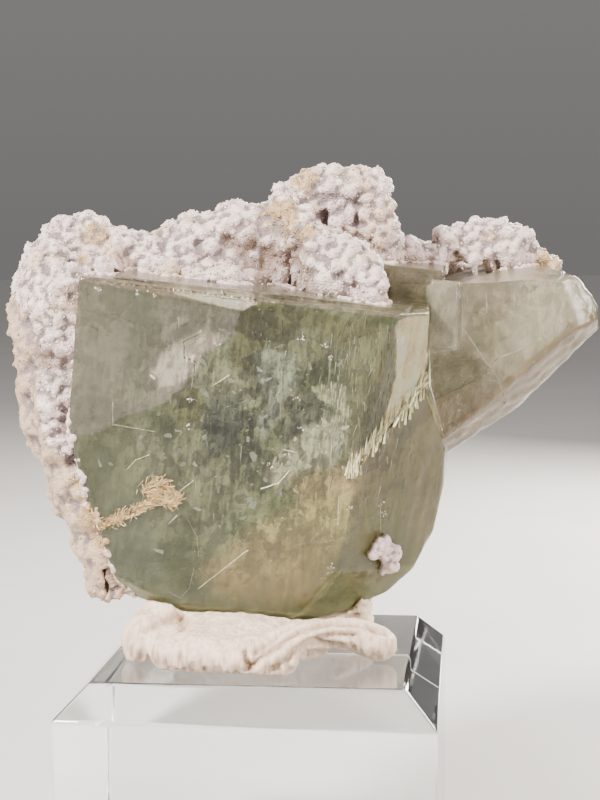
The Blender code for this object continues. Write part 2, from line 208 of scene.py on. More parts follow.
# The display block: a square of clear cast acrylic, sawn, with a wide chamfer milled round its top edge and
# all faces flame polished, so its edges are very slightly rounded.
BLOCK_CHAMFER = 3.2 * MM
BLOCK_EDGE = 0.3 * MM
BLOCK_EDGE_STEPS = 3
ACRYLIC_COLOUR, ACRYLIC_IOR = (0.97, 0.98, 0.98, 1), 1.49
POLISH_RIPPLE = 0.002 * MM


def shown(mesh, name, material, *nodes, slot):
    """Puts a finished mesh into the scene as a piece that rides on the body."""
    mesh.materials.clear()
    mesh.materials.append(material)
    piece = in_scene(name, mesh)
    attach(piece, "root")
    if nodes:
        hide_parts(*nodes)


block_low, block_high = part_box("acrylic_block")
bm = bmesh.new()
bmesh.ops.create_cube(bm, size=1.0)
bmesh.ops.scale(bm, vec=block_high - block_low, verts=bm.verts)
bmesh.ops.translate(bm, vec=(block_low + block_high) / 2, verts=bm.verts)
top_edges = [e for e in bm.edges if all(v.co.z > block_high.z - BLOCK_EDGE for v in e.verts)]
for edges, width, steps in ((top_edges, BLOCK_CHAMFER, 1), (None, BLOCK_EDGE, BLOCK_EDGE_STEPS)):
    bmesh.ops.bevel(bm, geom=edges or bm.edges[:], offset=width, offset_type="OFFSET", segments=steps,
                    profile=0.5, affect="EDGES", material=-1)
for face in bm.faces:
    face.smooth = face.calc_area() < (2 * BLOCK_EDGE) * (block_high.x - block_low.x)

acrylic, tree, shader = finish_of(
    "clear_acrylic", Base_Color=ACRYLIC_COLOUR, IOR=ACRYLIC_IOR, Transmission_Weight=1.0)
handled = speckle(object_place(tree), 0.12, detail=4)
drawn_out = speckle(object_place(tree, (MM, 12 * MM, 12 * MM)), 1.5, detail=5)
put(shader, Roughness=fade(handled, 0.45, 0.75, 0.02, 0.07),
    Normal=bumpy(drawn_out, POLISH_RIPPLE))
shown(as_mesh(bm, "display_block"), "display_block", acrylic, "acrylic_block", slot="acrylic")


# The putty: soft cream white mounting putty, rolled between the fingers, pressed onto the block and squeezed
# up round the foot of the crystal, with one strand folded along the front.
PUTTY_VOXEL = 0.3 * MM
PUTTY_FOLDS = (  # lines across and up the front in mm, width and depth in mm
    (((-0.3, 26.3), (2, 28.4), (4.9, 29.6), (7.9, 30.4), (10.8, 30), (13.8, 28.7)), 0.30, 0.30),
    (((2.5, 26.3), (5.4, 28.4), (7.9, 29.2), (10.3, 28.9)), 0.35, 0.35),
    (((0.5, 28.2), (3.4, 30), (5.9, 30.8)), 0.25, 0.22),
    (((-0.6, 28.4), (0.3, 25.6)), 0.22, 0.40),
    (((-8.5, 31.7), (-7.9, 29.5)), 0.5, 0.40),
    (((-11.5, 29.3), (-8.5, 30), (-5, 29.8)), 0.4, 0.30),
    (((6.6, 28.2), (8.8, 27.2)), 0.5, 0.5),
)
PUTTY_SWELLS = ((0.25, 3.5), (0.12, 0.9))  # height and size in mm
FOLD_CUT, PULL_CUT, ROLL_HEIGHT = 2.0, 0.5, 0.14
PULLED_BELOW, CRYSTAL_FOOT = 29.5, 30.6  # heights in mm
# The putty's own colour, and the painted shade laid into its folds.
PUTTY_COLOUR, PUTTY_PAINTED_SHADE = (0.77, 0.60, 0.465, 1), (0.33, 0.22, 0.135, 1)
PUTTY_RELIEF = 0.22 * MM


def merged_copy(node):
    """A bmesh copy of a solid, with its loose triangles joined."""
    bm = bmesh.new()
    bm.from_mesh(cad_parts[node].data)
    bmesh.ops.remove_doubles(bm, verts=bm.verts, dist=0.002 * MM)
    return bm


def remeshed(bm, name, voxel):
    """The closed skin of a bmesh, in even small squares."""
    mesh = as_mesh(bm, name)
    piece = in_scene(name, mesh)
    modifier = piece.modifiers.new("even", "REMESH")
    modifier.mode, modifier.voxel_size, modifier.use_smooth_shade = "VOXEL", voxel, True
    seen = piece.evaluated_get(bpy.context.evaluated_depsgraph_get())
    even = bpy.data.meshes.new_from_object(seen)
    bpy.data.objects.remove(piece)
    bpy.data.meshes.remove(mesh)
    return even


def coordinates(mesh):
    """Every vertex's place and normal as arrays, in metres."""
    places = np.empty(len(mesh.vertices) * 3, np.float32)
    normals = np.empty(len(mesh.vertices) * 3, np.float32)
    mesh.vertices.foreach_get("co", places)
    mesh.vertex_normals.foreach_get("vector", normals)
    return places.reshape(-1, 3).astype(float), normals.reshape(-1, 3).astype(float)


def pushed(mesh, distances):
    """Moves every vertex along its normal by its distance."""
    places, normals = coordinates(mesh)
    moved = places + normals * np.asarray(distances)[:, None]
    mesh.vertices.foreach_set("co", moved.astype(np.float32).ravel())
    mesh.update()


def waves(points, size):
    """Smooth random heights, about -1 to 1, with hills of the given size."""
    return np.array([noise.noise(Vector(p) / size) for p in points])


def read(tree, name):
    """A number kept for every vertex."""
    layer = tree.nodes.new("ShaderNodeAttribute")
    layer.attribute_name = name
    return layer.outputs["Fac"]


def keep_value(mesh, name, values):
    """Keeps a number for every vertex, for the finish to read."""
    layer = mesh.attributes.new(name, "FLOAT", "POINT")
    layer.data.foreach_set("value", np.asarray(values, np.float32))


def away_from(points, line):
    """How far each point lies from a line drawn through the given points."""
    start, end = np.array(line[:-1], float), np.array(line[1:], float)
    along, offset = end - start, points[:, None] - start
    share = np.clip((offset * along).sum(2) / (along ** 2).sum(1), 0, 1)
    return np.linalg.norm(offset - share[..., None] * along, axis=2).min(1)


def unit(values):
    """Holds numbers between 0 and 1."""
    return np.clip(values, 0, 1)


def blend(*parts):
    """A sum of numbers, each times its weight."""
    total = 0.0
    for value, weight in parts:
        total = calc("MULTIPLY_ADD", value, weight, total)
    return total


putty_mesh = remeshed(merged_copy("mineral_putty"), "putty", PUTTY_VOXEL)
places, normals = coordinates(putty_mesh)
row = places / MM
facing = unit(-normals[:, 1] * 2)
folds = sum(depth * np.exp(-(away_from(row[:, (0, 2)], line) / width) ** 2)
            for line, width, depth in PUTTY_FOLDS)
upright = row * (1, 0.3, 0.22)
pulled = np.abs(waves(upright, 0.75)) + 0.6 * np.abs(waves(upright + 9, 0.35))
low_front = unit((PULLED_BELOW - row[:, 2]) / 2) * facing
slanted = np.stack((row[:, 0] * 0.12 - row[:, 2] * 0.25, row[:, 1], row[:, 0] * 0.5 + row[:, 2]), 1)
rolled = waves(slanted, 0.5)
swells = sum(rise * waves(row, size) for rise, size in PUTTY_SWELLS)
pushed(putty_mesh, MM * (swells - FOLD_CUT * folds * facing - PULL_CUT * pulled * low_front
                         + ROLL_HEIGHT * rolled * (1 - low_front)))
# Painted shade: the putty is painted darker in its folds, along the pulled ridges low on the front and close
# under the crystal's foot.
near_crystal = unit((row[:, 2] - CRYSTAL_FOOT) / 1.4) * facing * unit(0.6 + waves(row + 5, 2.2))
keep_value(putty_mesh, "folds", 1.5 * folds * facing + 0.6 * pulled * low_front + 0.4 * near_crystal)

putty, tree, shader = finish_of("mounting_putty", Roughness=0.42, Subsurface_Weight=0.12,
                                Subsurface_Scale=1.5 * MM, Specular_IOR_Level=0.4)
lumps = speckle(object_place(tree), 0.35, detail=4)
fibres = speckle(object_place(tree, (0.35 * MM, 0.35 * MM, 2.5 * MM)), 0.8, detail=5)
dull = fade(blend((lumps, 0.5), (fibres, 0.5)), 0.54, 0.38, 0, 0.4)
# The dull patches are the putty's own; the darkening along the folds is painted shade.
painted_crease_shade = fade(read(tree, "folds"), 0.05, 0.5, 0, 0.6)
put(shader, Base_Color=paint(calc("ADD", dull, painted_crease_shade), PUTTY_COLOUR, PUTTY_PAINTED_SHADE),
    Normal=bumpy(blend((lumps, 0.7), (fibres, 1.3)), PUTTY_RELIEF))
shown(putty_mesh, "putty", putty, "mineral_putty", slot="putty")


# The fluorite: pale green crystals that grew together, cleaved and chipped, clear enough to look into, with
# cloudy veils, a smoky middle and a golden glow of painted light low on the right. Light goes in and comes
# out green.
CRYSTAL_ANCHOR = Vector((0, -8, 63.65)) * MM
CRYSTAL_ROLL, CRYSTAL_LEAN = math.radians(6.9), math.radians(5.0)
FLUORITE_EDGE = 0.52 * MM
SHARP_EDGE = math.radians(14)
FLANK_POINT, FLANK_DIRECTION = (12.6, 0.0, -20.0), (0.70, -0.71, -0.08)  # on the crystal, in mm
LEDGE_POINT, LEDGE_DIRECTION = (12.6, 0.0, -15.8), (-0.757, -0.169, 0.639)
FRONT_DEPTH, CORNER_DEPTH = 1.6, 5.0  # how far the front face's patches reach back, in mm
REAR_START, REAR_STEP, REAR_ENDS = 10.8, 12.6, (17.0, 18.9)
SIDE_START, SIDE_FOOT = (17.3, 3.3), 43  # on the part itself, in mm
UNDER_POINT, UNDER_DIRECTION = (31.6, 4.3, 57.9), (0.56, -0.5, -0.66)
# The glow on the right is painted light; it begins this far across.
GLOW_START = 15.6  # across, on the part itself, in mm
# Heights of the relief in mm.
EDGE_CHIPS, FLANK_FLUTES, FRINGE_FLUTES, CREAM_FLUTES, SIDE_FLUTES = 0.35, 0.12, 0.42, 0.05, 0.05
UNDER_BREAKS, TERRACES, VEIL_STEP, CHIP_BEVEL, FACE_GRAIN = 0.16, 0.06, 0.10, 0.45, 0.025
BUSY_MIDDLE, BUSY_REACH = (2.0, -13.0), 22  # where the front face is busiest, in mm
FLUORITE_IOR = 1.434
GREEN_ABSORPTION, ABSORPTION_DENSITY = (0.44, 0.60, 0.30, 1), 60.0
CLEAR_GREEN, MILKY_GREEN = (0.093, 0.104, 0.040, 1), (0.205, 0.214, 0.112, 1)
BRIGHT_FLECK = (0.84, 0.80, 0.64, 1)
FINE_RELIEF = 0.07 * MM
# Cloudy and clear patches of the front face, and patches of painted light (the golden glow, the lit cream
# facet and the highlight on the chipped wedge): name: (colour, strength, soft edge and ragged edge in mm,
# corners of the outline across and up the face in mm). Later ones lie over earlier ones.
FRONT_PATCHES = {
    "veil": ((0.26, 0.238, 0.17), 0.9, 0.12, 1.2, (
        (-19, 1), (-0.6, 0.6), (-1.2, -3), (-2.6, -5.3), (-4.6, -6.8), (-5.2, -8.4), (-6.6, -10.5),
        (-8, -11.9), (-10, -13.1), (-12.2, -13.9), (-14.2, -15.8), (-19, -17.5))),
    "veil_shade": ((0.155, 0.166, 0.101), 0.55, 1.2, 2.5, (
        (-13.2, 1), (-9, 1), (-9.2, -4.5), (-10, -7.7), (-10.7, -12.1), (-12.8, -12.3), (-12.3, -7))),
    "veil_light": ((0.80, 0.69, 0.51), 0.75, 0.5, 1.6, (
        (-8.9, -10.2), (-9.9, -9), (-8.4, -7), (-6.8, -5.1), (-4.5, -3.7), (-2.5, -4.6), (-4.5, -6.6),
        (-5.2, -8.2), (-6.8, -10.3))),
    "left_green": ((0.139, 0.156, 0.088), 0.7, 1.0, 3.0, ((-16, -24), (-9, -24), (-6, -31), (-17, -33))),
    "olive": ((0.093, 0.092, 0.036), 0.85, 0.3, 1.4, (
        (-1.1, -1.7), (1, -0.6), (5, -0.5), (9.6, -1), (9.1, -2.3), (5.2, -2.6), (2.1, -4.7),
        (1.7, -7.4), (-0.5, -7.8), (-1.9, -6.7), (-1.6, -4.6))),
    "spade": ((0.105, 0.106, 0.035), 0.95, 0.06, 0.4, (
        (-5.6, -9.9), (-4.5, -10.2), (-3.8, -11.4), (-4.1, -13.4), (-6.5, -14), (-6.8, -13.4),
        (-6.3, -11.3))),
    "smoke_left": ((0.04, 0.047, 0.032), 0.8, 0.6, 3.0, (
        (-3.8, -11.2), (-2.2, -10.2), (-0.3, -10.5), (0.8, -12.8), (0, -15.8), (-2.4, -17), (-3.8, -14.4))),
    "smoke_right": ((0.057, 0.062, 0.041), 0.75, 0.7, 2.5, (
        (4.4, -10), (7, -8.6), (9, -9.8), (8.4, -11.6), (6.8, -13), (6, -14.8), (4.5, -14.2),
        (5.1, -11.7))),
    "grey_wisp": ((0.29, 0.309, 0.22), 0.65, 0.4, 2.6, (
        (1.1, -5.5), (2.5, -4.7), (5.3, -6.1), (5.8, -8.3), (4.5, -9.7), (3.7, -12.4), (2.5, -14.7),
        (1.6, -13), (2.7, -10.4), (1.1, -8.5))),
    "pale_patch": ((0.352, 0.366, 0.194), 0.9, 0.15, 0.7, (
        (6.8, -8.5), (8.8, -7.9), (10.7, -8.1), (11.1, -9.9), (11.3, -11.9), (9.8, -12.7), (9.5, -10.2),
        (8, -9.7))),
    "pale_low": ((0.366, 0.374, 0.223), 0.85, 0.5, 2.0, (
        (6.3, -13.1), (9.2, -11.7), (11.3, -11.9), (11.2, -15.1), (9.8, -16.7), (6.7, -17.3),
        (4.2, -19.4), (2.6, -18.4), (5.2, -15.2))),
    "crumbled": ((0.148, 0.139, 0.05), 0.75, 0.3, 1.5, (
        (7, -1.7), (9.7, -1.2), (13.8, -1.3), (13.9, -3.3), (10.5, -4), (7.5, -3.1))),
    "fibres": ((0.206, 0.203, 0.091), 0.75, 0.3, 1.5, (
        (9.4, -3.8), (13.8, -1.7), (13.9, -3.8), (13.5, -7), (12.8, -10.2), (12.7, -13.3), (12.3, -15.7),
        (10.7, -15.2), (11.3, -11.4), (10.9, -8.3), (9.9, -6.4))),
    # The golden and rose glow low on the right is painted light, as if lit through from behind.
    "painted_gold_glow": ((0.35, 0.265, 0.10), 0.85, 1.2, 3.2, (
        (5.8, -18.5), (9.8, -16.9), (12, -15.8), (14.4, -13.6), (16.6, -14.5), (17, -19.1),
        (15.6, -20.5), (13, -21.3), (12, -25.2), (11, -28.5), (9, -31.5), (-0.5, -32), (-2.6, -29.5),
        (3.1, -23.7), (7.1, -21))),
    "painted_rose_glow": ((0.44, 0.32, 0.16), 0.6, 1.0, 1.5, (
        (11.8, -16.6), (15.1, -14.6), (16.3, -17.1), (15.3, -19.4), (11.7, -20.4), (10, -18.5))),
    "deep": ((0.115, 0.105, 0.036), 0.65, 1.0, 2.2, (
        (11.2, -26.6), (13.9, -25.6), (14.9, -27.6), (14.2, -30.2), (11.7, -30.8))),
    "strip": ((0.11, 0.098, 0.035), 0.9, 0.25, 0.7, (
        (14.3, -1.7), (14.9, -1.7), (15.4, -6.7), (14.7, -11), (13.4, -13.8), (12.3, -15.3),
        (12.4, -11.8), (13.3, -7.5), (13.9, -3.3))),
    # The cream facet is painted bright: painted light of a face lit from the right and glowing through.
    "cream": ((0.96, 0.76, 0.38), 0.97, 0.2, 0.9, (
        (14.9, -0.9), (17.2, 0.4), (19.5, 0.4), (19.5, -6.8), (18, -8.3), (17, -11), (15.4, -14.2),
        (14.6, -12), (15.4, -6.7))),
    "chip": ((0.33, 0.26, 0.17), 0.85, 0.05, 0.3, (
        (-17.5, -0.35), (-9, -0.85), (-3, -1.35), (-0.9, -1.4), (0.9, -0.5), (1.3, 3), (-17.5, 3))),
    # A painted highlight on the chipped wedge at the top edge, where its bevelled facet catches light from
    # above.
    "painted_wedge_highlight": ((0.95, 0.84, 0.62), 1.0, 0.1, 0.3, (
        (-8.5, -0.5), (-3, -1.3), (-0.8, -1.5), (0.4, -0.4), (-2.5, 3), (-6, 3))),
}
# Patches that follow the crystal's own forms instead of an outline; the glow among them is painted light.
FLANK_PATCHES = {
    "flank": ((0.12, 0.097, 0.022), 0.9, 0.8, 2.0),
    "glow": ((0.26, 0.20, 0.075), 0.5, 1.2, 1.0),
    "side": ((0.44, 0.375, 0.265), 1.0, 0.5, 0.5),
}
END_PATCHES = {
    "under": ((0.36, 0.26, 0.16), 1.0, 0.1, 0.3),
    "rear": ((0.27, 0.225, 0.145), 1.0, 0.3, 0.5),
    "top": ((0.43, 0.36, 0.25), 1.0, 0.1, 0.3),
}
# Patches of the crystal that stands out to the right: across and up in mm on the part itself.
SIDE_PATCHES = {
    "panel": ((0.577, 0.516, 0.385), 0.8, 0.10, 0.2, ((17, 66), (21.1, 65.5), (21.1, 57.4), (17, 57))),
    "low": ((0.391, 0.31, 0.201), 0.85, 0.15, 0.5, (
        (16, 51.4), (22.3, 53.9), (25.2, 51.6), (30, 51), (30, 40), (16, 40))),
    "haze": ((0.614, 0.554, 0.41), 0.75, 1.2, 2.5, (
        (26.5, 65), (34, 64.5), (35.5, 61), (30, 57.6), (26.6, 57))),
    "clear": ((0.279, 0.258, 0.154), 0.7, 0.6, 1.6, (
        (21.4, 63), (24, 62.6), (25.6, 59), (24.5, 56.4), (22.2, 57.5))),
    "clear_low": ((0.26, 0.234, 0.141), 0.7, 0.5, 1.0, (
        (18, 56.5), (22.2, 57), (23.8, 54.9), (22.3, 54), (18, 52.2))),
}


def into_crystal(points):
    """Places in the crystal's own axes, in mm: across, into and up the front face."""
    turn = (Matrix.Rotation(CRYSTAL_ROLL, 3, "Y") @ Matrix.Rotation(CRYSTAL_LEAN, 3, "X")).transposed()
    return (points - np.array(CRYSTAL_ANCHOR)) @ np.array(turn).T / MM


def depth_inside(points, outline):
    """How far each point lies inside a closed outline; outside it the number is below 0."""
    start, end = np.array(outline, float), np.roll(np.array(outline, float), -1, axis=0)
    gap = away_from(points, (*outline, outline[0]))
    crossed = (start[:, 1] > points[:, None, 1]) != (end[:, 1] > points[:, None, 1])
    rise = np.where(end[:, 1] == start[:, 1], 1e-9, end[:, 1] - start[:, 1])
    cut = start[:, 0] + (points[:, None, 1] - start[:, 1]) * (end[:, 0] - start[:, 0]) / rise
    return np.where((crossed & (points[:, None, 0] < cut)).sum(1) % 2 == 1, gap, -gap)


def beyond(points, point, direction):
    """How far each point lies beyond a flat face."""
    direction = np.array(direction) / np.linalg.norm(direction)
    return (points - np.array(point)) @ direction


def fine_mesh(bm, longest):
    """Splits the long edges of a solid until none is longer than the given length."""
    bmesh.ops.dissolve_limit(bm, angle_limit=math.radians(0.3), verts=bm.verts, edges=bm.edges)
    bmesh.ops.triangulate(bm, faces=bm.faces)
    limit = max(e.calc_length() for e in bm.edges)
    while limit > longest:
        limit = max(limit * 0.62, longest)
        long_edges = [e for e in bm.edges if e.calc_length() > limit]
        bmesh.ops.subdivide_edges(bm, edges=long_edges, cuts=1)
        bmesh.ops.triangulate(bm, faces=[f for f in bm.faces if len(f.verts) > 3])
        level = [e for e in bm.edges if e.is_manifold and e.calc_face_angle() < 0.002]
        bmesh.ops.beautify_fill(bm, faces=bm.faces, edges=level)


bm = merged_copy("fluorite_crystals")
fine_mesh(bm, FLUORITE_EDGE)
on_edge = np.array([any(e.is_manifold and e.calc_face_angle() > SHARP_EDGE for e in v.link_edges)
                    for v in bm.verts])
bmesh.ops.smooth_vert(bm, verts=bm.verts, factor=0.5, use_axis_x=True, use_axis_y=True, use_axis_z=True)
for face in bm.faces:
    face.smooth = True
fluorite_mesh = as_mesh(bm, "fluorite")

places, normals = coordinates(fluorite_mesh)
inner = into_crystal(places)
across, into, up = inner.T
row = places / MM
ledge = beyond(inner, LEDGE_POINT, LEDGE_DIRECTION)
patches = {}
for name, patch in FRONT_PATCHES.items():
    depth = CORNER_DEPTH if name in ("cream", "strip") else FRONT_DEPTH
    patches[name] = np.minimum(depth_inside(inner[:, (0, 2)], patch[4]), depth - into)
on_side = np.minimum(row[:, 0] - SIDE_START[0], row[:, 1] - SIDE_START[1])
for name, patch in SIDE_PATCHES.items():
    patches[name] = np.minimum(depth_inside(row[:, (0, 2)], patch[4]), on_side)
patches["flank"] = np.minimum.reduce((
    beyond(inner, FLANK_POINT, FLANK_DIRECTION) + 1.2, across - FLANK_POINT[0], 0.2 - ledge))
# The painted glow: painted light on the flank beyond where the glow begins.
patches["glow"] = np.minimum(patches["flank"], row[:, 0] - GLOW_START)
patches["side"] = np.minimum(on_side, row[:, 2] - SIDE_FOOT)
patches["under"] = np.minimum(on_side, 0.35 - np.abs(beyond(row, UNDER_POINT, UNDER_DIRECTION)) * 0.5)
rear_end = np.where(into > REAR_STEP, REAR_ENDS[1], REAR_ENDS[0])
patches["rear"] = np.minimum.reduce((into - REAR_START, rear_end - across, up + 0.8))
patches["top"] = np.minimum(up + 0.35, REAR_START + 0.2 - into)

# The relief: chipped edges, upright flutes that end in a fringe at the ledge, low terraces and a chip.
chipped = np.where(on_edge, unit(waves(places, 1.5 * MM) - 0.05), 0)
flutes = waves(inner * (1.0, 1.0, 0.11), 0.8)
fringe = unit(1 - np.abs(ledge) / 2.0) * unit(across - 12.0) * unit(4.5 - into)
cream = unit(patches["cream"] + 0.3)
fluted = FLANK_FLUTES * unit(patches["flank"]) + FRINGE_FLUTES * fringe + CREAM_FLUTES * cream
side_lines = waves(inner * (1.0, 0.4, 0.10) + 7, 1.6) * unit(patches["side"])
ragged = waves(places, 1.3 * MM) * unit(patches["under"] / 0.2)
terraces = np.floor(waves(inner * (0.8, 0.5, 1.0) + 3, 5.0) * 4) / 4
raised_veil = unit(patches["veil"] / 0.3) * (into < 0.6)
bevel = unit(patches["chip"] / 0.5) * unit((1.2 - into) / 1.2)
from_middle = np.linalg.norm(inner[:, (0, 2)] - BUSY_MIDDLE, axis=1)
busy = 1.05 - from_middle / BUSY_REACH - 0.8 * (patches["side"] > 0) - 0.1 * (patches["veil"] > 0)
keep_value(fluorite_mesh, "flutes", flutes * unit(fringe + 0.35 * cream))
keep_value(fluorite_mesh, "busy", np.clip(busy, 0.2, 1))
# Faces that look down, low on the crystal, which the finish paints lighter as painted light.
keep_value(fluorite_mesh, "down", unit(-normals[:, 2]) * (row[:, 2] < 42))
for name, values in patches.items():
    keep_value(fluorite_mesh, name, values)
pushed(fluorite_mesh, MM * (
    -EDGE_CHIPS * chipped + fluted * flutes + SIDE_FLUTES * side_lines + UNDER_BREAKS * ragged
    + TERRACES * terraces + VEIL_STEP * raised_veil - CHIP_BEVEL * bevel * np.clip(up + 1.4, 0, 1.4)
    + FACE_GRAIN * waves(places, 1.1 * MM)))

fluorite, tree, shader = finish_of("fluorite", IOR=FLUORITE_IOR, Transmission_Weight=0.72, Coat_Weight=0.2,
                                   Coat_Roughness=0.06)


def crystal_place(tree, scale=(1, 1, 1), slant=0.0):
    """Places in the crystal's own axes, in the given steps in mm, turned in the front face by the slant."""
    return object_place(tree, [step * MM for step in scale], CRYSTAL_ANCHOR,
                        (CRYSTAL_LEAN, CRYSTAL_ROLL + math.radians(slant), 0))


def flakes(place, scale, feature="F1"):
    """Angular cells: each one's random number, or how far a point lies from a cell's border."""
    node = node_beside("TexVoronoi", place)
    node.feature = feature
    return put(node, Vector=place, Scale=scale).outputs["Color" if feature == "F1" else "Distance"]


def patch_share(tree, name, softness, raggedness, wobble):
    """How much of a named patch covers a point; the wobble makes its edge ragged."""
    edge = calc("ADD", read(tree, name), calc("MULTIPLY", wobble, raggedness))
    return fade(edge, -softness, softness)


def times(first, *others):
    """Numbers multiplied together."""
    for other in others:
        first = calc("MULTIPLY", first, other)
    return first


place = crystal_place(tree)
broad = speckle(place, 0.16, detail=4, roughness=0.55)
blotch = speckle(place, 0.8, detail=8, roughness=0.68)
crumb = speckle(place, 2.6, detail=6, roughness=0.7)
threads = speckle(crystal_place(tree, (0.5, 0.5, 2.6)), 0.9, detail=7, roughness=0.66)
slants = speckle(crystal_place(tree, (0.45, 0.6, 2.2), 38), 0.9, detail=7, roughness=0.66)
grain_lines = speckle(crystal_place(tree, (5.0, 0.4, 0.4)), 1.0, detail=6, roughness=0.6)
bent = calc("MULTIPLY_ADD", speckle(place, 0.5, detail=4), (3, 3, 3), place, kind="VectorMath")
mosaic = blend((flakes(bent, 0.36), 0.5), (flakes(bent, 1.0), 0.5))
cracks = fade(flakes(bent, 0.28, "DISTANCE_TO_EDGE"), 0.03, 0.0)

colour = paint(fade(broad, 0.35, 0.65), CLEAR_GREEN, MILKY_GREEN)
wobble = calc("SUBTRACT", blotch, 0.5)
every_patch = FRONT_PATCHES | FLANK_PATCHES | SIDE_PATCHES | END_PATCHES
for name, (tint, strength, softness, raggedness, *_) in every_patch.items():
    share = times(patch_share(tree, name, softness, raggedness, wobble), strength)
    if name == "top":
        share = times(share, fade(grain_lines, 0.40, 0.60, 0.35, 0.9))
    colour = paint(share, colour, (*tint, 1))

# Light and shade in the crystal: a factor on the colour, strongest where the crystal is busy.
busy = read(tree, "busy")
uneven = blend((threads, 0.42), (slants, 0.25), (mosaic, 0.18), (crumb, 0.15))
light = times(fade(uneven, 0.43, 0.56, 0.38, 1.6), fade(mosaic, 0.32, 0.66, 0.6, 1.35),
              fade(threads, 0.35, 0.65, 0.75, 1.25), fade(crumb, 0.3, 0.7, 0.8, 1.2))
light = calc("MULTIPLY_ADD", calc("SUBTRACT", light, 1.0), busy, 1.0)
cracked = times(cracks, fade(blotch, 0.48, 0.62, 0, 0.6))
# Painted light and shade: faces that look down are painted lighter, the flutes' grooves darker and their
# ridges lighter; the cracks are darker.
light = times(light, fade(read(tree, "down"), 0.1, 0.8, 1.16, 2.9),
              calc("SUBTRACT", 1.0, cracked), fade(read(tree, "flutes"), -0.5, 0.5, 0.45, 1.35))
lit = calc("MULTIPLY", colour, light, kind="VectorMath")
lit = calc("MINIMUM", lit, BRIGHT_FLECK[:3], kind="VectorMath")
flecks = times(fade(crumb, 0.63, 0.75, 0, 0.6), busy)
relief = blend((threads, 1.0), (slants, 0.5), (crumb, 0.8), (mosaic, 0.7))
put(shader, Base_Color=paint(flecks, lit, BRIGHT_FLECK),
    Roughness=fade(blotch, 0.3, 0.7, 0.06, 0.20), Normal=bumpy(relief, FINE_RELIEF, 0.7))
absorb = put(tree.nodes.new("ShaderNodeVolumeAbsorption"), Color=GREEN_ABSORPTION,
             Density=ABSORPTION_DENSITY)
tree.links.new(absorb.outputs["Volume"], tree.nodes["Material Output"].inputs["Volume"])
shown(fluorite_mesh, "fluorite", fluorite, "fluorite_crystals", slot="fluorite")


# The marks on the fluorite: small cleavage plates and threads that lie in its faces and catch the light, the
# splintered fringe where the upper right face breaks off, a few scratches, and a thin film of tan fibres that
# dried on its lower left. The plates, threads and splinters of the fringe are painted lighter or darker, as
# painted light and shade.
MARK_SEED = 5
PLATES, THREADS, FRINGE, FIBRES = 900, 640, 230, 780
PLATE_CORNERS = (5, 6, 7, 5, 6, 7, 8, 6)
PLATE_MIDDLE, PLATE_REACH = (1.5, -12.0), 12
CLEAVAGE_ANGLES = [math.radians(angle) for angle in (0, 40, -52, 90)]
FRINGE_TOP, FRINGE_FOOT = (18.4, -7.6), (11.9, -16.6)
FRINGE_COLOUR, BARE_GREEN = (0.84, 0.74, 0.46), (0.20, 0.22, 0.125)
MARK_SHADE = (0.10, 0.10, 0.05, 1)
SCRATCH_STEP = 0.55
SEEN_FROM, SEEN_DEPTH = -6, 30  # mm into the crystal: where a mark is looked for
SCRATCH_COLOUR, CRACK_COLOUR = (0.80, 0.76, 0.56), (0.07, 0.07, 0.035)
SCRATCHES = (  # corners across and up the face in mm, width in mm, colour
    (((-2.8, -31.6), (2, -26.7)), 0.15, SCRATCH_COLOUR),
    (((-5.9, -21.5), (-4.4, -20)), 0.13, SCRATCH_COLOUR),
    (((-6.5, -24.9), (-5.8, -24)), 0.12, SCRATCH_COLOUR),
    (((-3.3, -9.7), (-1.7, -8.4)), 0.16, SCRATCH_COLOUR),
    (((-5.7, -32.4), (-4.6, -32.8), (-3.7, -31.7), (-3.4, -29.5)), 0.07, (0.48, 0.48, 0.34)),
    (((-4.7, -23.9), (-3.4, -25.9), (-3, -27.8)), 0.08, (0.45, 0.46, 0.32)),
    (((-11.5, -19.7), (-10.6, -18.5), (-9.3, -17.8)), 0.16, (0.78, 0.66, 0.44)),
    (((-13.5, -12.4), (-13.3, -15), (-11.3, -15.1), (-9, -15.2)), 0.14, (0.42, 0.42, 0.31)),
    (((-4.8, -4.3), (-5.4, -4.6), (-6.6, -5.4), (-6.4, -7), (-5.3, -7.3), (-5.2, -9.4)), 0.16, CRACK_COLOUR),
    (((9.4, -3.6), (13.2, -1.9)), 0.10, CRACK_COLOUR),
    (((4.7, -15.4), (6.1, -15.5)), 0.2, SCRATCH_COLOUR),
    (((5.7, -17.4), (4.6, -19), (3, -19.8)), 0.2, SCRATCH_COLOUR),
    (((14.9, -1.6), (15.4, -6.7), (14.7, -11)), 0.12, (0.30, 0.26, 0.12)),
    (((15.3, -20.8), (15.6, -23.6)), 0.16, SCRATCH_COLOUR),
    (((11, -19.6), (11.2, -22.4)), 0.12, SCRATCH_COLOUR),
)
PALE_LINE = (0.56, 0.51, 0.40)
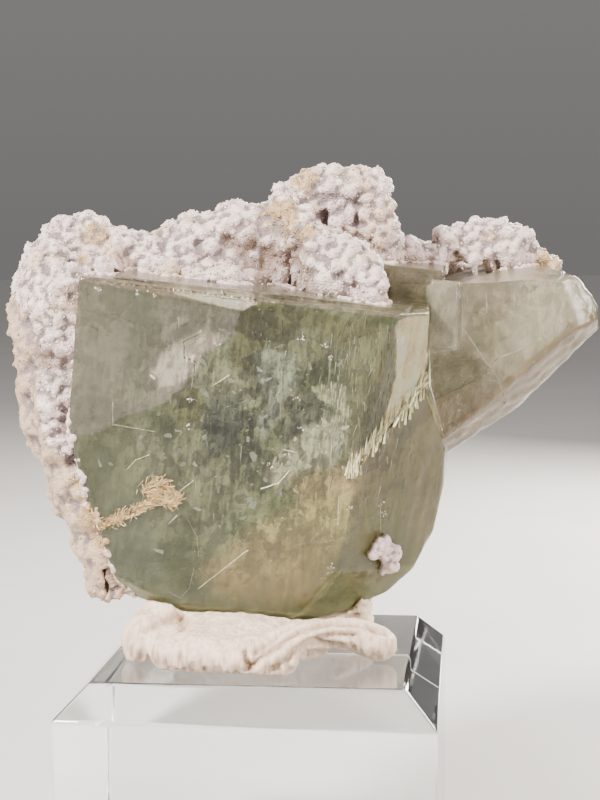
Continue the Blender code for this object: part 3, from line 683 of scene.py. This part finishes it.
SIDE_LINES = (  # on the crystal at the right: corners across and up on the part in mm, width in mm, colour
    (((17.9, 51.9), (22.3, 54)), 0.13, (0.16, 0.13, 0.08)),
    (((21.2, 59.8), (23.4, 56.6), (25.1, 54.3)), 0.14, PALE_LINE),
    (((24.7, 56.5), (26.8, 57.2), (29.3, 58.5)), 0.13, PALE_LINE),
    (((25, 54.2), (25.6, 52.8), (25.9, 51.4)), 0.12, PALE_LINE),
    (((21.1, 64.4), (21.2, 57.4)), 0.1, PALE_LINE),
    (((18.3, 57.1), (21.1, 57.4)), 0.09, (0.30, 0.27, 0.19)),
    (((22.3, 54), (24.8, 56.4)), 0.1, (0.24, 0.21, 0.13)),
    (((23.7, 63.8), (23.8, 61.6)), 0.16, PALE_LINE),
    (((26.8, 64), (26.7, 61.2)), 0.14, PALE_LINE),
    (((31, 64.2), (30.7, 62)), 0.14, PALE_LINE),
    (((32.4, 63.9), (31.9, 61.6)), 0.1, PALE_LINE),
    (((28.5, 61.5), (26, 58.6)), 0.09, (0.32, 0.29, 0.21)),
)
FILM_PATH = ((-14.3, -26.2), (-11.9, -25.0), (-9.2, -23.2), (-7.4, -22.2), (-6.4, -22.6), (-5.8, -22.0))
FILM_TUFT = ((-9.6, -21.6), (-8.6, -20.7), (-7.2, -20.4), (-6.6, -21.6), (-7.8, -21.3), (-8.6, -22.0))
TAN_PALE, TAN_DEEP = (0.86, 0.67, 0.38), (0.40, 0.24, 0.08)

crystal_turn = (Matrix.Translation(CRYSTAL_ANCHOR) @ Matrix.Rotation(CRYSTAL_ROLL, 4, "Y")
                @ Matrix.Rotation(CRYSTAL_LEAN, 4, "X"))


def search_of(mesh):
    """A mesh's faces, ready to be searched for the nearest place or along a line."""
    return BVHTree.FromPolygons([v.co for v in mesh.vertices], [p.vertices for p in mesh.polygons])


def plate_shape(corners, rng):
    """A thin angular plate with uneven sides, about 1 long and wide."""
    bm = bmesh.new()
    bmesh.ops.create_cone(bm, cap_ends=True, segments=corners, radius1=0.5, radius2=0.42, depth=1.0)
    reach = rng.uniform(0.4, 1.2, corners)
    for vert in bm.verts:
        vert.co.xy *= reach[round(math.atan2(vert.co.x, vert.co.y) / math.tau * corners) % corners]
    return as_mesh(bm, "plate")


def splinter_shape():
    """A four-sided splinter that runs to a point along its length; 1 long and wide."""
    bm = bmesh.new()
    bmesh.ops.create_cone(bm, cap_ends=True, segments=4, radius1=0.5, radius2=0.0, depth=1.0)
    bmesh.ops.rotate(bm, matrix=Matrix.Rotation(math.pi / 2, 3, "X"), verts=bm.verts)
    return as_mesh(bm, "splinter")


rng = np.random.default_rng(MARK_SEED)
plates = [plate_shape(corners, rng) for corners in PLATE_CORNERS]
splinter = splinter_shape()
face_search = search_of(fluorite_mesh)


def skin_at(spot, axes):
    """The place and normal on the crystal's skin straight behind a spot across and up."""
    start = axes @ (Vector((spot[0], SEEN_FROM, spot[1])) * MM)
    return face_search.ray_cast(start, axes.to_3x3() @ Vector((0, 1, 0)), SEEN_DEPTH * MM)


def add_mark(bm, colours, shape, spot, angle, size, colour, lift=0.0, tilt=(0, 0), axes=crystal_turn):
    """Lays a mark on the crystal at a spot across and up in the given axes, turned by an angle."""
    found, normal, *_ = skin_at(spot, axes)
    if found is None:
        return
    up = axes.to_3x3() @ Vector((0, 0, 1))
    up = Matrix.Rotation(angle, 3, normal) @ (up - normal * up.dot(normal)).normalized()
    turn = Matrix((up.cross(normal), up, normal)).transposed()
    lean = Matrix.Rotation(tilt[0], 3, "X") @ Matrix.Rotation(tilt[1], 3, "Y")
    laid = (turn @ lean @ Matrix.Diagonal(size) * MM).to_4x4()
    mark = shape.copy()
    mark.transform(Matrix.Translation(found + normal * lift * MM) @ laid)
    bm.from_mesh(mark)
    bpy.data.meshes.remove(mark)
    colours.extend([(*colour, 1.0)] * len(shape.vertices))


def marks_mesh(name, bm, colours):
    """The finished mesh of many marks, each with its own colour."""
    mesh = as_mesh(bm, name)
    layer = mesh.attributes.new("shade", "FLOAT_COLOR", "POINT")
    layer.data.foreach_set("color", np.array(colours, np.float32).ravel())
    return mesh


def scratch(bm, colours, line, width, colour, rng, axes=crystal_turn):
    """A scratch or crack: short splinters laid end over end along a line."""
    for (x, z), (x2, z2) in zip(line, line[1:]):
        length = math.hypot(x2 - x, z2 - z)
        steps = max(1, round(length / SCRATCH_STEP))
        angle = math.atan2(-(x2 - x), z2 - z)
        for step in range(steps):
            share = (step + 0.5) / steps
            spot = (x + (x2 - x) * share, z + (z2 - z) * share)
            add_mark(bm, colours, splinter, spot, angle + rng.normal(0, 0.05),
                     (width * rng.uniform(0.45, 0.95), length / steps * 1.6, 0.12), colour, axes=axes)


def tint_at(spot):
    """The colour of the cloudy or clear patch at a spot of the front face, greyed a little."""
    here = BARE_GREEN
    for tint, _, _, _, outline in FRONT_PATCHES.values():
        if depth_inside(np.array([spot]), outline)[0] > 0:
            here = tint
    return np.array(here) * 0.63 + np.mean(here) * 0.27


def lit_or_shaded(bright, dark, odds, rng):
    """A random brightness, painted light or shade, out of one of two ranges; the odds are those of the bright
    one.
    """
    return rng.choice((rng.uniform(*bright), rng.uniform(*dark)), p=(odds, 1 - odds))


bm, colours = bmesh.new(), []
for _ in range(PLATES):
    spot = rng.uniform((-16, -31), (13.5, -1))
    if rng.random() > np.clip(1.25 - np.linalg.norm(spot - PLATE_MIDDLE) / PLATE_REACH, 0.12, 1):
        continue
    size = 0.3 + 1.2 * rng.random() ** 3
    angle = rng.choice(CLEAVAGE_ANGLES) + rng.normal(0, 0.25)
    # Each plate takes the colour of the face under it, painted lighter or darker as painted light and shade.
    colour = np.clip(tint_at(spot) * lit_or_shaded((0.85, 1.15), (0.5, 0.8), 0.5, rng), 0, 0.8)
    plate = plates[rng.integers(len(plates))]
    extent = (size * rng.uniform(0.25, 0.7), size, 0.06)
    add_mark(bm, colours, plate, spot, angle, extent, colour, 0.0, rng.normal(0, 0.03, 2))
for turn in range(THREADS):
    spot = rng.uniform((-8, -24), (18.4, -1.2)) if turn % 2 else rng.uniform((8.5, -16), (15, -1.4))
    if turn % 2 and rng.random() > np.clip((spot[0] - 2) / 12, 0.2, 1):
        continue
    colour = np.clip(tint_at(spot) * lit_or_shaded((1.1, 1.5), (0.5, 0.75), 0.6, rng), 0, 0.85)
    angle = rng.normal(0, 0.12)
    extent = (rng.uniform(0.07, 0.18), rng.uniform(0.5, 2.0), 0.10)
    add_mark(bm, colours, splinter, spot, angle, extent, colour)
for _ in range(FRINGE):
    share = rng.random()
    size = rng.uniform(0.9, 3.6)
    spot = np.array(FRINGE_TOP) * (1 - share) + np.array(FRINGE_FOOT) * share
    spot = spot + (rng.normal(0, 0.25), size * 0.1)
    colour = np.clip(np.array(FRINGE_COLOUR) * lit_or_shaded((1.0, 1.3), (0.4, 0.7), 0.75, rng), 0, 0.9)
    angle = math.pi + rng.normal(0, 0.10)
    add_mark(bm, colours, splinter, spot, angle, (rng.uniform(0.14, 0.42), size, 0.4), colour, 0.06)
for line, width, colour in SCRATCHES:
    scratch(bm, colours, line, width, colour, rng)
for line, width, colour in SIDE_LINES:
    scratch(bm, colours, line, width, colour, rng, Matrix.Identity(4))
flake_mesh = marks_mesh("cleavage_flakes", bm, colours)

# The tan film: most fibres lie along its path, and the rest in the tuft at its upper end.
bm, colours = bmesh.new(), []
for _ in range(FIBRES):
    line = FILM_PATH if rng.random() < 0.72 else FILM_TUFT
    part = rng.integers(len(line) - 1)
    share = rng.random()
    along = np.array(line[part + 1]) - np.array(line[part])
    spot = np.array(line[part]) + along * share + rng.normal(0, 0.26, 2)
    angle = math.atan2(-along[0], along[1]) + rng.normal(0, 0.6)
    light = rng.random()
    add_mark(bm, colours, splinter, spot, angle, (rng.uniform(0.05, 0.12), rng.uniform(0.4, 1.5), 0.2),
             np.array(TAN_PALE) * light + np.array(TAN_DEEP) * (1 - light), rng.uniform(0, 0.18))
film_mesh = marks_mesh("tan_film", bm, colours)


def marks_finish(name, **inputs):
    """A finish that takes each mark's own colour, slightly uneven."""
    material, tree, shader = finish_of(name, **inputs)
    shade = tree.nodes.new("ShaderNodeAttribute")
    shade.attribute_name = "shade"
    uneven = speckle(object_place(tree), 2.5, detail=4)
    put(shader, Base_Color=paint(fade(uneven, 0.6, 0.3, 0, 0.45), shade.outputs["Color"], MARK_SHADE))
    return material


cleavage = marks_finish("cleavage", Roughness=0.22, IOR=FLUORITE_IOR, Transmission_Weight=0.35)
shown(flake_mesh, "cleavage_flakes", cleavage, slot="fluorite")
shown(film_mesh, "tan_film", marks_finish("tan_fibres", Roughness=0.8), slot="quartz")


# The crust: a white, sugary skin of small rounded quartz grains that grew over the back, the left and the top
# of the fluorite and ran together, with tan patches stained by iron and a smoother beige shell along its
# outer left edge. Painted shade darkens the hollows between the grains and the recesses, brownish in a few of
# them.
# It is made in three parts that overlap.
CRUST_PARTS = {  # how far each part reaches across, in mm
    "crust_left": (-40, -16.5), "crust_middle": (-16.9, 3.0), "crust_right": (2.6, 40)}
GROUND_VOXEL = 0.26 * MM
GROUND_RELIEF, GROUND_SWELL = 0.45 * MM, -0.20 * MM
FUSED_GRAINS = ((1.45, (0.55, 0.95)), (0.78, (0.30, 0.52)))  # mm: spacing, least and greatest radius
FUSED_SINK, WRINKLE = 0.12, 0.07
SUGAR_GRAINS, SUGAR_SINK = (0.56, (0.11, 0.24)), 0.25
CREEPING_GRAINS, CREEP, EDGE_VOXEL = (0.44, (0.20, 0.46)), 1.5, 0.16 * MM
GRAIN_SEED = 11
CRYSTAL_CLEARANCE, SKIN_STEP = 0.8 * MM, 0.02 * MM
TOUCH_REACH, TOUCH_PRESS = 1.1 * MM, 0.06 * MM
VALLEY_WIDTH, VALLEY_DEPTH = 0.7, 0.4
TINT_SIZE = 0.8 * MM
FILLED_HOLLOW, FILLING = Vector((7.8, 9.2, 71.9)) * MM, 2.5 * MM  # between the branches: middle and radius
SHELL_OUTLINE = (
    (-31, 64.5), (-26.4, 63.5), (-23.8, 60.5), (-23, 55), (-22.4, 49), (-19.8, 46.4), (-18.4, 42),
    (-16.4, 37), (-14.5, 31), (-12, 22), (-31, 22))
SHELL_VALLEY = ((-20.4, 47.2), (-19.3, 45), (-17.9, 43), (-17.2, 38), (-16, 32.9), (-15.9, 29))
TAN_SPOTS = (  # middle and radius in mm
    ((-18.6, 2, 70.1), 2.6), ((-19.2, -2.5, 67.5), 1.3), ((1.7, 2, 72.1), 3.4), ((3.8, 6.6, 76.1), 2.2),
    ((4.6, 0.3, 70.2), 1.9), ((-26.5, -1, 58.5), 2.2), ((-26, -2, 54.5), 1.6), ((31, 14, 66.5), 2.6),
    ((24, 13.5, 70), 1.3), ((-17.6, -5.8, 40.8), 2.3), ((-16.8, -5.6, 38.2), 2), ((-19.2, -5.7, 44.1), 1),
    ((-10, 18, 62), 3), ((8, 21, 52), 4), ((-20, 17, 45), 3.5))
# Recesses painted with brownish shade: middle and radius in mm.
BROWN_SHADE_SPOTS = (
    ((1.7, 1.8, 66.6), 5.5), ((4.9, -0.6, 65), 3.2), ((-22.2, -5.8, 57.5), 3.4), ((-2.5, 3, 69), 3.5))
SPECKS = (  # across and up the front face, in mm
    (-16, -1), (-11.9, -1), (-10, -1), (-3.1, -5.3), (-5.3, -11.3), (-5.3, -14.2), (5.4, -3.6), (8.1, -4.1),
    (8.6, -5.2), (5.4, -16), (11.4, -16.5), (12.2, -20.6), (15.3, -20.5), (15.8, -21.6), (10.9, -27.3),
    (6.2, -13), (3.5, -17.2), (5.6, -10))
SPECK_GROUP, SPECK_SPREAD, SPECK_SIZES = 7, 0.18, (0.04, 0.10)
QUARTZ_WHITE, QUARTZ_GLINT = (0.83, 0.67, 0.615, 1), (0.86, 0.74, 0.69, 1)
QUARTZ_LILAC, QUARTZ_GREY = (0.60, 0.475, 0.465, 1), (0.34, 0.26, 0.25, 1)
QUARTZ_SHADE, QUARTZ_BROWN_SHADE = (0.18, 0.135, 0.132, 1), (0.19, 0.125, 0.09, 1)
QUARTZ_TAN, QUARTZ_BEIGE = (0.44, 0.29, 0.125, 1), (0.57, 0.41, 0.275, 1)
QUARTZ_SHELL = (0.50, 0.355, 0.235, 1)
QUARTZ_IOR = 1.544
QUARTZ_RELIEF = 0.12 * MM


def scattered(mesh, spacing, rng, allowed):
    """Random places on a surface, none nearer than the spacing: places, normals, a vertex beside each."""
    mesh.calc_loop_triangles()
    corners = np.empty(len(mesh.loop_triangles) * 3, np.int32)
    mesh.loop_triangles.foreach_get("vertices", corners)
    corners = corners.reshape(-1, 3)
    places, _ = coordinates(mesh)
    first, second, third = (places[corners[:, i]] for i in range(3))
    cross = np.cross(second - first, third - first)
    area = np.linalg.norm(cross, axis=1) / 2
    tries = int(area.sum() / spacing ** 2 * 4)
    picks = rng.choice(len(area), tries, p=area / area.sum())
    u, v = rng.random((2, tries, 1))
    u, v = np.where(u + v > 1, 1 - u, u), np.where(u + v > 1, 1 - v, v)
    spots = first[picks] + (second - first)[picks] * u + (third - first)[picks] * v
    normals = cross[picks] / np.maximum(area[picks, None] * 2, 1e-20)
    around = [(a, b, c) for a in (-1, 0, 1) for b in (-1, 0, 1) for c in (-1, 0, 1)]
    cells, kept = {}, []
    for n, (spot, normal) in enumerate(zip(spots, normals)):
        i, j, k = (int(value // spacing) for value in spot)
        near = (cells.get((i + a, j + b, k + c), ()) for a, b, c in around)
        if any(((spot - other) ** 2).sum() < spacing ** 2 for group in near for other in group):
            continue
        if allowed(Vector(spot), Vector(normal)):
            cells.setdefault((i, j, k), []).append(spot)
            kept.append(n)
    return spots[kept], normals[kept], corners[picks[kept], 0]


def grain_shape(round_grain):
    """One grain, 1 in radius: a cube whose squares are cut in four and pulled out, or a coarser ball."""
    bm = bmesh.new()
    if round_grain:
        bmesh.ops.create_cube(bm, size=1.0)
        bmesh.ops.subdivide_edges(bm, edges=bm.edges, cuts=1, use_grid_fill=True)
    else:
        bmesh.ops.create_icosphere(bm, subdivisions=1, radius=1.0)
    for vert in bm.verts:
        vert.co.normalize()
    for face in bm.faces:
        face.smooth = round_grain
    return as_mesh(bm, "grain")


def add_grains(bm, shape, spots, normals, radii, sink, rng):
    """Adds a grain at each spot, stretched and turned at random."""
    for spot, normal, radius in zip(spots, normals, radii):
        stretch = Matrix.Diagonal((*rng.uniform(0.75, 1.3, 3) * radius, 1))
        turn = Matrix.Rotation(rng.uniform(0, math.tau), 4, "Z") @ Matrix.Rotation(rng.uniform(-1, 1), 4, "X")
        grain = shape.copy()
        grain.transform(Matrix.Translation(spot - normal * radius * sink) @ turn @ stretch)
        bm.from_mesh(grain)
        bpy.data.meshes.remove(grain)


def stands_out(mesh, rounds):
    """How far each vertex stands out of the smoothed surface, in mm; in a hollow it is below 0."""
    places, normals = coordinates(mesh)
    ends = np.empty(len(mesh.edges) * 2, np.int32)
    mesh.edges.foreach_get("vertices", ends)
    one, other = ends.reshape(-1, 2).T
    from_all, to_all = np.concatenate((one, other)), np.concatenate((other, one))
    count = np.bincount(from_all, minlength=len(places))[:, None]
    smooth = places
    for _ in range(rounds):
        sums = [np.bincount(from_all, smooth[to_all, i], len(places)) for i in range(3)]
        smooth = np.stack(sums, 1) / count
    return ((places - smooth) * normals).sum(1) / MM


def nearness(places, spots):
    """How near each place is to the nearest spot: 1 at its middle, 0 at its radius and below 0 beyond."""
    return np.max([1 - np.linalg.norm(places / MM - np.array(middle), axis=1) / radius
                   for middle, radius in spots], axis=0)


def quartz_finish(name, white, sheen):
    """The grains' finish: white tips, painted brownish shade in the hollows, tan and beige where iron has
    stained them.
    """
    material, tree, shader = finish_of(name, Roughness=sheen, IOR=QUARTZ_IOR)
    place = object_place(tree)
    broad = speckle(place, 0.22, detail=4)
    fine = speckle(place, 1.4, detail=5, roughness=0.6)
    sugar = speckle(place, 6.0, detail=4, roughness=0.6)
    uneven = calc("MULTIPLY", calc("SUBTRACT", fine, 0.5), 1.6)
    rise, dip, tint = (read(tree, layer) for layer in ("rise", "dip", "tint"))
    shell, tan, brown_shade = (calc("ADD", read(tree, layer), uneven) for layer in ("shell", "tan", "brown_shade"))
    clouds = calc("ADD", broad, calc("MULTIPLY", uneven, 0.08))
    # Painted shade: the hollows between the grains (rise) and the broad hollows (dip) are painted darker,
    # brownish near the shaded recesses.
    hollow = paint(fade(brown_shade, 0.1, 0.7), QUARTZ_SHADE, QUARTZ_BROWN_SHADE)
    colour = paint(fade(fine, 0.35, 0.65), white, QUARTZ_LILAC)
    for value, low, high, strength, over in (
            (tint, 0.45, 1.0, 0.45, QUARTZ_GREY), (clouds, 0.50, 0.64, 0.7, QUARTZ_BEIGE),
            (shell, -0.3, 0.5, 0.95, QUARTZ_SHELL), (tan, 0.05, 0.5, 0.9, QUARTZ_TAN),
            (brown_shade, 0.0, 0.6, 0.6, QUARTZ_BROWN_SHADE), (dip, 0.15, -0.8, 0.85, hollow),
            (rise, 0.45, -0.62, 0.92, hollow)):
        colour = paint(fade(value, low, high, 0, strength), colour, over)
    domes = fade(flakes(place, 3.2, "DISTANCE_TO_EDGE"), 0.0, 0.35)
    put(shader, Base_Color=colour,
        Normal=bumpy(blend((domes, 0.6), (sugar, 0.8)), QUARTZ_RELIEF, 0.8))
    return material


crystal_search = search_of(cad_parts["fluorite_crystals"].data)


def touching(mesh):
    """Draws the side of a skin that lies near the crystal onto it, so that no gap shows along its edge."""
    places, normals = coordinates(mesh)
    for i, (place, normal) in enumerate(zip(places, normals)):
        spot, outward, _, gap = crystal_search.find_nearest(place, TOUCH_REACH)
        if spot is not None and (spot - Vector(place)).dot(Vector(normal)) > 0.5 * gap:
            places[i] = spot - outward * TOUCH_PRESS
    mesh.vertices.foreach_set("co", places.astype(np.float32).ravel())
    mesh.update()


def in_the_open(spot, normal):
    """True where a grain shows: not between the crust and the crystal that it lies on."""
    return crystal_search.ray_cast(spot + normal * SKIN_STEP, normal, CRYSTAL_CLEARANCE)[0] is None


def in_shell(places):
    """How far a place lies inside the smoother shell of the crust's outer left edge, in mm."""
    return depth_inside(places[:, (0, 2)] / MM, SHELL_OUTLINE)


def grainy_ground(bm, name, voxel, relief, swell, layers, rng):
    """A solid's skin, roughened, with grains that have run together with it, in one closed mesh."""
    ground = remeshed(bm, name, 1.5 * voxel)
    places, _ = coordinates(ground)
    pushed(ground, relief * (waves(places, 2.4 * MM) + 0.5 * waves(places, 1.1 * MM)) + swell)
    shape = grain_shape(True)
    bm = bmesh.new()
    bm.from_mesh(ground)
    for spacing, sizes in layers:
        spots, normals, _ = scattered(ground, spacing * MM, rng, in_the_open)
        radii = rng.uniform(*sizes, len(spots)) * MM
        radii = np.where(in_shell(spots) > 0.3, radii * 0.55, radii)
        add_grains(bm, shape, spots, normals, radii, FUSED_SINK, rng)
    bpy.data.meshes.remove(ground)
    bpy.data.meshes.remove(shape)
    return remeshed(bm, name, voxel)


def slice_of(bm, low, high):
    """Keeps what lies between two upright planes, given across in mm, and closes the cuts."""
    for across, side in ((low, -1), (high, 1)):
        cut = bmesh.ops.bisect_plane(bm, geom=bm.verts[:] + bm.edges[:] + bm.faces[:], dist=1e-7,
                                     plane_co=(across * MM, 0, 0), plane_no=(side, 0, 0), clear_outer=True)
        edges = [e for e in cut["geom_cut"] if isinstance(e, bmesh.types.BMEdge)]
        if edges:
            bmesh.ops.holes_fill(bm, edges=edges, sides=0)
    return bm


def soft_tints(places):
    """How grey each place is, from 0 to 1, in soft patches."""
    return 0.5 + 0.5 * waves(places, TINT_SIZE)


def with_values(mesh, rise, dip, places, tint):
    """Keeps what the quartz finish reads."""
    for name, values in (("rise", rise), ("dip", dip), ("shell", in_shell(places)), ("tint", tint),
                         ("tan", nearness(places, TAN_SPOTS)), ("brown_shade", nearness(places, BROWN_SHADE_SPOTS))):
        keep_value(mesh, name, values)
    return mesh


def grain_mesh(name, ground_dip, found, sizes, sink, rng):
    """A mesh of separate small grains at the spots that were found."""
    spots, normals, corners = found
    radii = rng.uniform(*sizes, len(spots)) * MM
    shape = grain_shape(False)
    bm = bmesh.new()
    add_grains(bm, shape, spots, normals, radii, sink, rng)
    mesh = as_mesh(bm, name)
    places, _ = coordinates(mesh)
    offset = places.reshape(len(spots), -1, 3) - spots[:, None]
    # Each grain is painted darker towards its foot, as painted shade between the grains.
    rise = (offset * normals[:, None]).sum(2) / radii[:, None]
    dip, tint = (np.repeat(values, rise.shape[1]) for values in (ground_dip[corners], rng.random(len(spots))))
    bpy.data.meshes.remove(shape)
    return with_values(mesh, rise.ravel(), dip, places, tint)


rng = np.random.default_rng(GRAIN_SEED)
quartz = quartz_finish("sugary_quartz", QUARTZ_WHITE, 0.45)
glint = quartz_finish("quartz_glints", QUARTZ_GLINT, 0.2)


def where_sugar_grows(spot, normal):
    """True where a separate grain grows: in the open, and seldom on the smooth shell."""
    return in_the_open(spot, normal) and (
        in_shell(np.array([spot]))[0] < 0.4 or noise.noise(spot / MM * 0.9) > 0.28)


def crust_piece(bm, name, voxel, relief, swell, layers, sugar, carved, rng):
    """Makes one part of the crust: the fused grains, and the smallest grains on them."""
    mesh = grainy_ground(bm, name, voxel, relief, swell, layers, rng)
    places, _ = coordinates(mesh)
    valley, brown_shade = carved(places)
    pushed(mesh, MM * (WRINKLE * waves(places, 0.55 * MM) - VALLEY_DEPTH * valley))
    fine = round(8 * (GROUND_VOXEL / voxel) ** 2)
    # How far each place stands out, finely and broadly; the finish paints shade by it, deeper in the valley
    # and the shaded recesses.
    rise, hollow = stands_out(mesh, fine), stands_out(mesh, 9 * fine)
    dip = hollow - 1.1 * valley - 0.7 * brown_shade
    touching(mesh)
    places, _ = coordinates(mesh)
    with_values(mesh, np.clip(rise / 0.13, -1, 1), dip, places, soft_tints(places))
    found = scattered(mesh, sugar[0] * MM, rng, where_sugar_grows)
    found = [values[hollow[found[2]] > -0.15] for values in found]
    return mesh, grain_mesh(name + "_sugar", dip, found, sugar[1], SUGAR_SINK, rng)


def crust_hollows(places):
    """Where the crust has a valley along its shell, and where brownish shade is painted into its recesses,
    from 0 to 1.
    """
    valley = unit(1 - away_from(places[:, (0, 2)] / MM, SHELL_VALLEY) / VALLEY_WIDTH)
    return valley * (places[:, 1] < -3 * MM), unit(nearness(places, BROWN_SHADE_SPOTS))


for name, (low, high) in CRUST_PARTS.items():
    bm = slice_of(merged_copy("quartz_crust"), low, high)
    if low < FILLED_HOLLOW.x / MM < high:
        bmesh.ops.create_icosphere(bm, subdivisions=2, radius=FILLING,
                                   matrix=Matrix.Translation(FILLED_HOLLOW))
    mesh, sugar_mesh = crust_piece(bm, name, GROUND_VOXEL, GROUND_RELIEF, GROUND_SWELL, FUSED_GRAINS,
                                   SUGAR_GRAINS, crust_hollows, rng)
    shown(mesh, name, quartz, "quartz_crust", slot="quartz")
    shown(sugar_mesh, name + "_sugar", glint, slot="quartz")

crust_search = search_of(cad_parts["quartz_crust"].data)


def beside_the_crust(spot, normal):
    """True on the crystal close to the crust's edge, where the grains creep out over it."""
    found = crust_search.find_nearest(spot, CREEP * MM)
    reach = (0.85 + 0.9 * noise.noise(spot / MM * 0.7)) * MM
    return found[0] is not None and found[3] < reach \
        and (crust_search.ray_cast(spot + normal * SKIN_STEP, normal, 1.5 * MM)[0] is None
             or into_crystal(np.array([spot]))[0, 1] < 1.3)


spots, normals, _ = scattered(fluorite_mesh, CREEPING_GRAINS[0] * MM, rng, beside_the_crust)
shape = grain_shape(True)
bm = bmesh.new()
add_grains(bm, shape, spots, normals, rng.uniform(*CREEPING_GRAINS[1], len(spots)) * MM, 0.1, rng)
bpy.data.meshes.remove(shape)
edge_mesh = remeshed(bm, "crust_edge", EDGE_VOXEL)
places, _ = coordinates(edge_mesh)
# Painted shade between the creeping grains, by how far each place stands out.
edge_rise = np.clip(stands_out(edge_mesh, 10) / 0.1, -1, 1)
with_values(edge_mesh, edge_rise, np.zeros(len(places)), places, soft_tints(places))
shown(edge_mesh, "crust_edge", quartz, slot="quartz")

# Single specks of the same quartz, in small groups on the front face.
speck_spots, speck_normals = [], []
for spot in SPECKS:
    for across, up in rng.normal(0, SPECK_SPREAD, (SPECK_GROUP, 2)) + np.array(spot):
        found, normal, *_ = skin_at((across, up), crystal_turn)
        if found is not None:
            speck_spots.append(found)
            speck_normals.append(normal)
found = np.array(speck_spots), np.array(speck_normals), np.zeros(len(speck_spots), int)
speck_mesh = grain_mesh("white_specks", np.zeros(1), found, SPECK_SIZES, 0.3, rng)
shown(speck_mesh, "white_specks", glint, slot="quartz")


# The small tuft: a few of the same quartz grains, a little pinker, that grew by themselves low on the right
# of the front face and ran together into one knob.
TUFT_VOXEL, TUFT_RELIEF, TUFT_SWELL = 0.16 * MM, 0.12 * MM, 0.05 * MM
TUFT_GRAINS, TUFT_SUGAR = ((1.0, (0.42, 0.72)), (0.62, (0.24, 0.36))), (0.45, (0.07, 0.13))
TUFT_PINK = (0.74, 0.55, 0.52, 1)

mesh, sugar_mesh = crust_piece(merged_copy("quartz_patch"), "tuft", TUFT_VOXEL, TUFT_RELIEF, TUFT_SWELL,
                               TUFT_GRAINS, TUFT_SUGAR, lambda places: (0, 0), rng)
pink_quartz = quartz_finish("tuft_quartz", TUFT_PINK, 0.5)
shown(mesh, "tuft", pink_quartz, "quartz_patch", slot="quartz")
shown(sugar_mesh, "tuft_sugar", pink_quartz, slot="quartz")
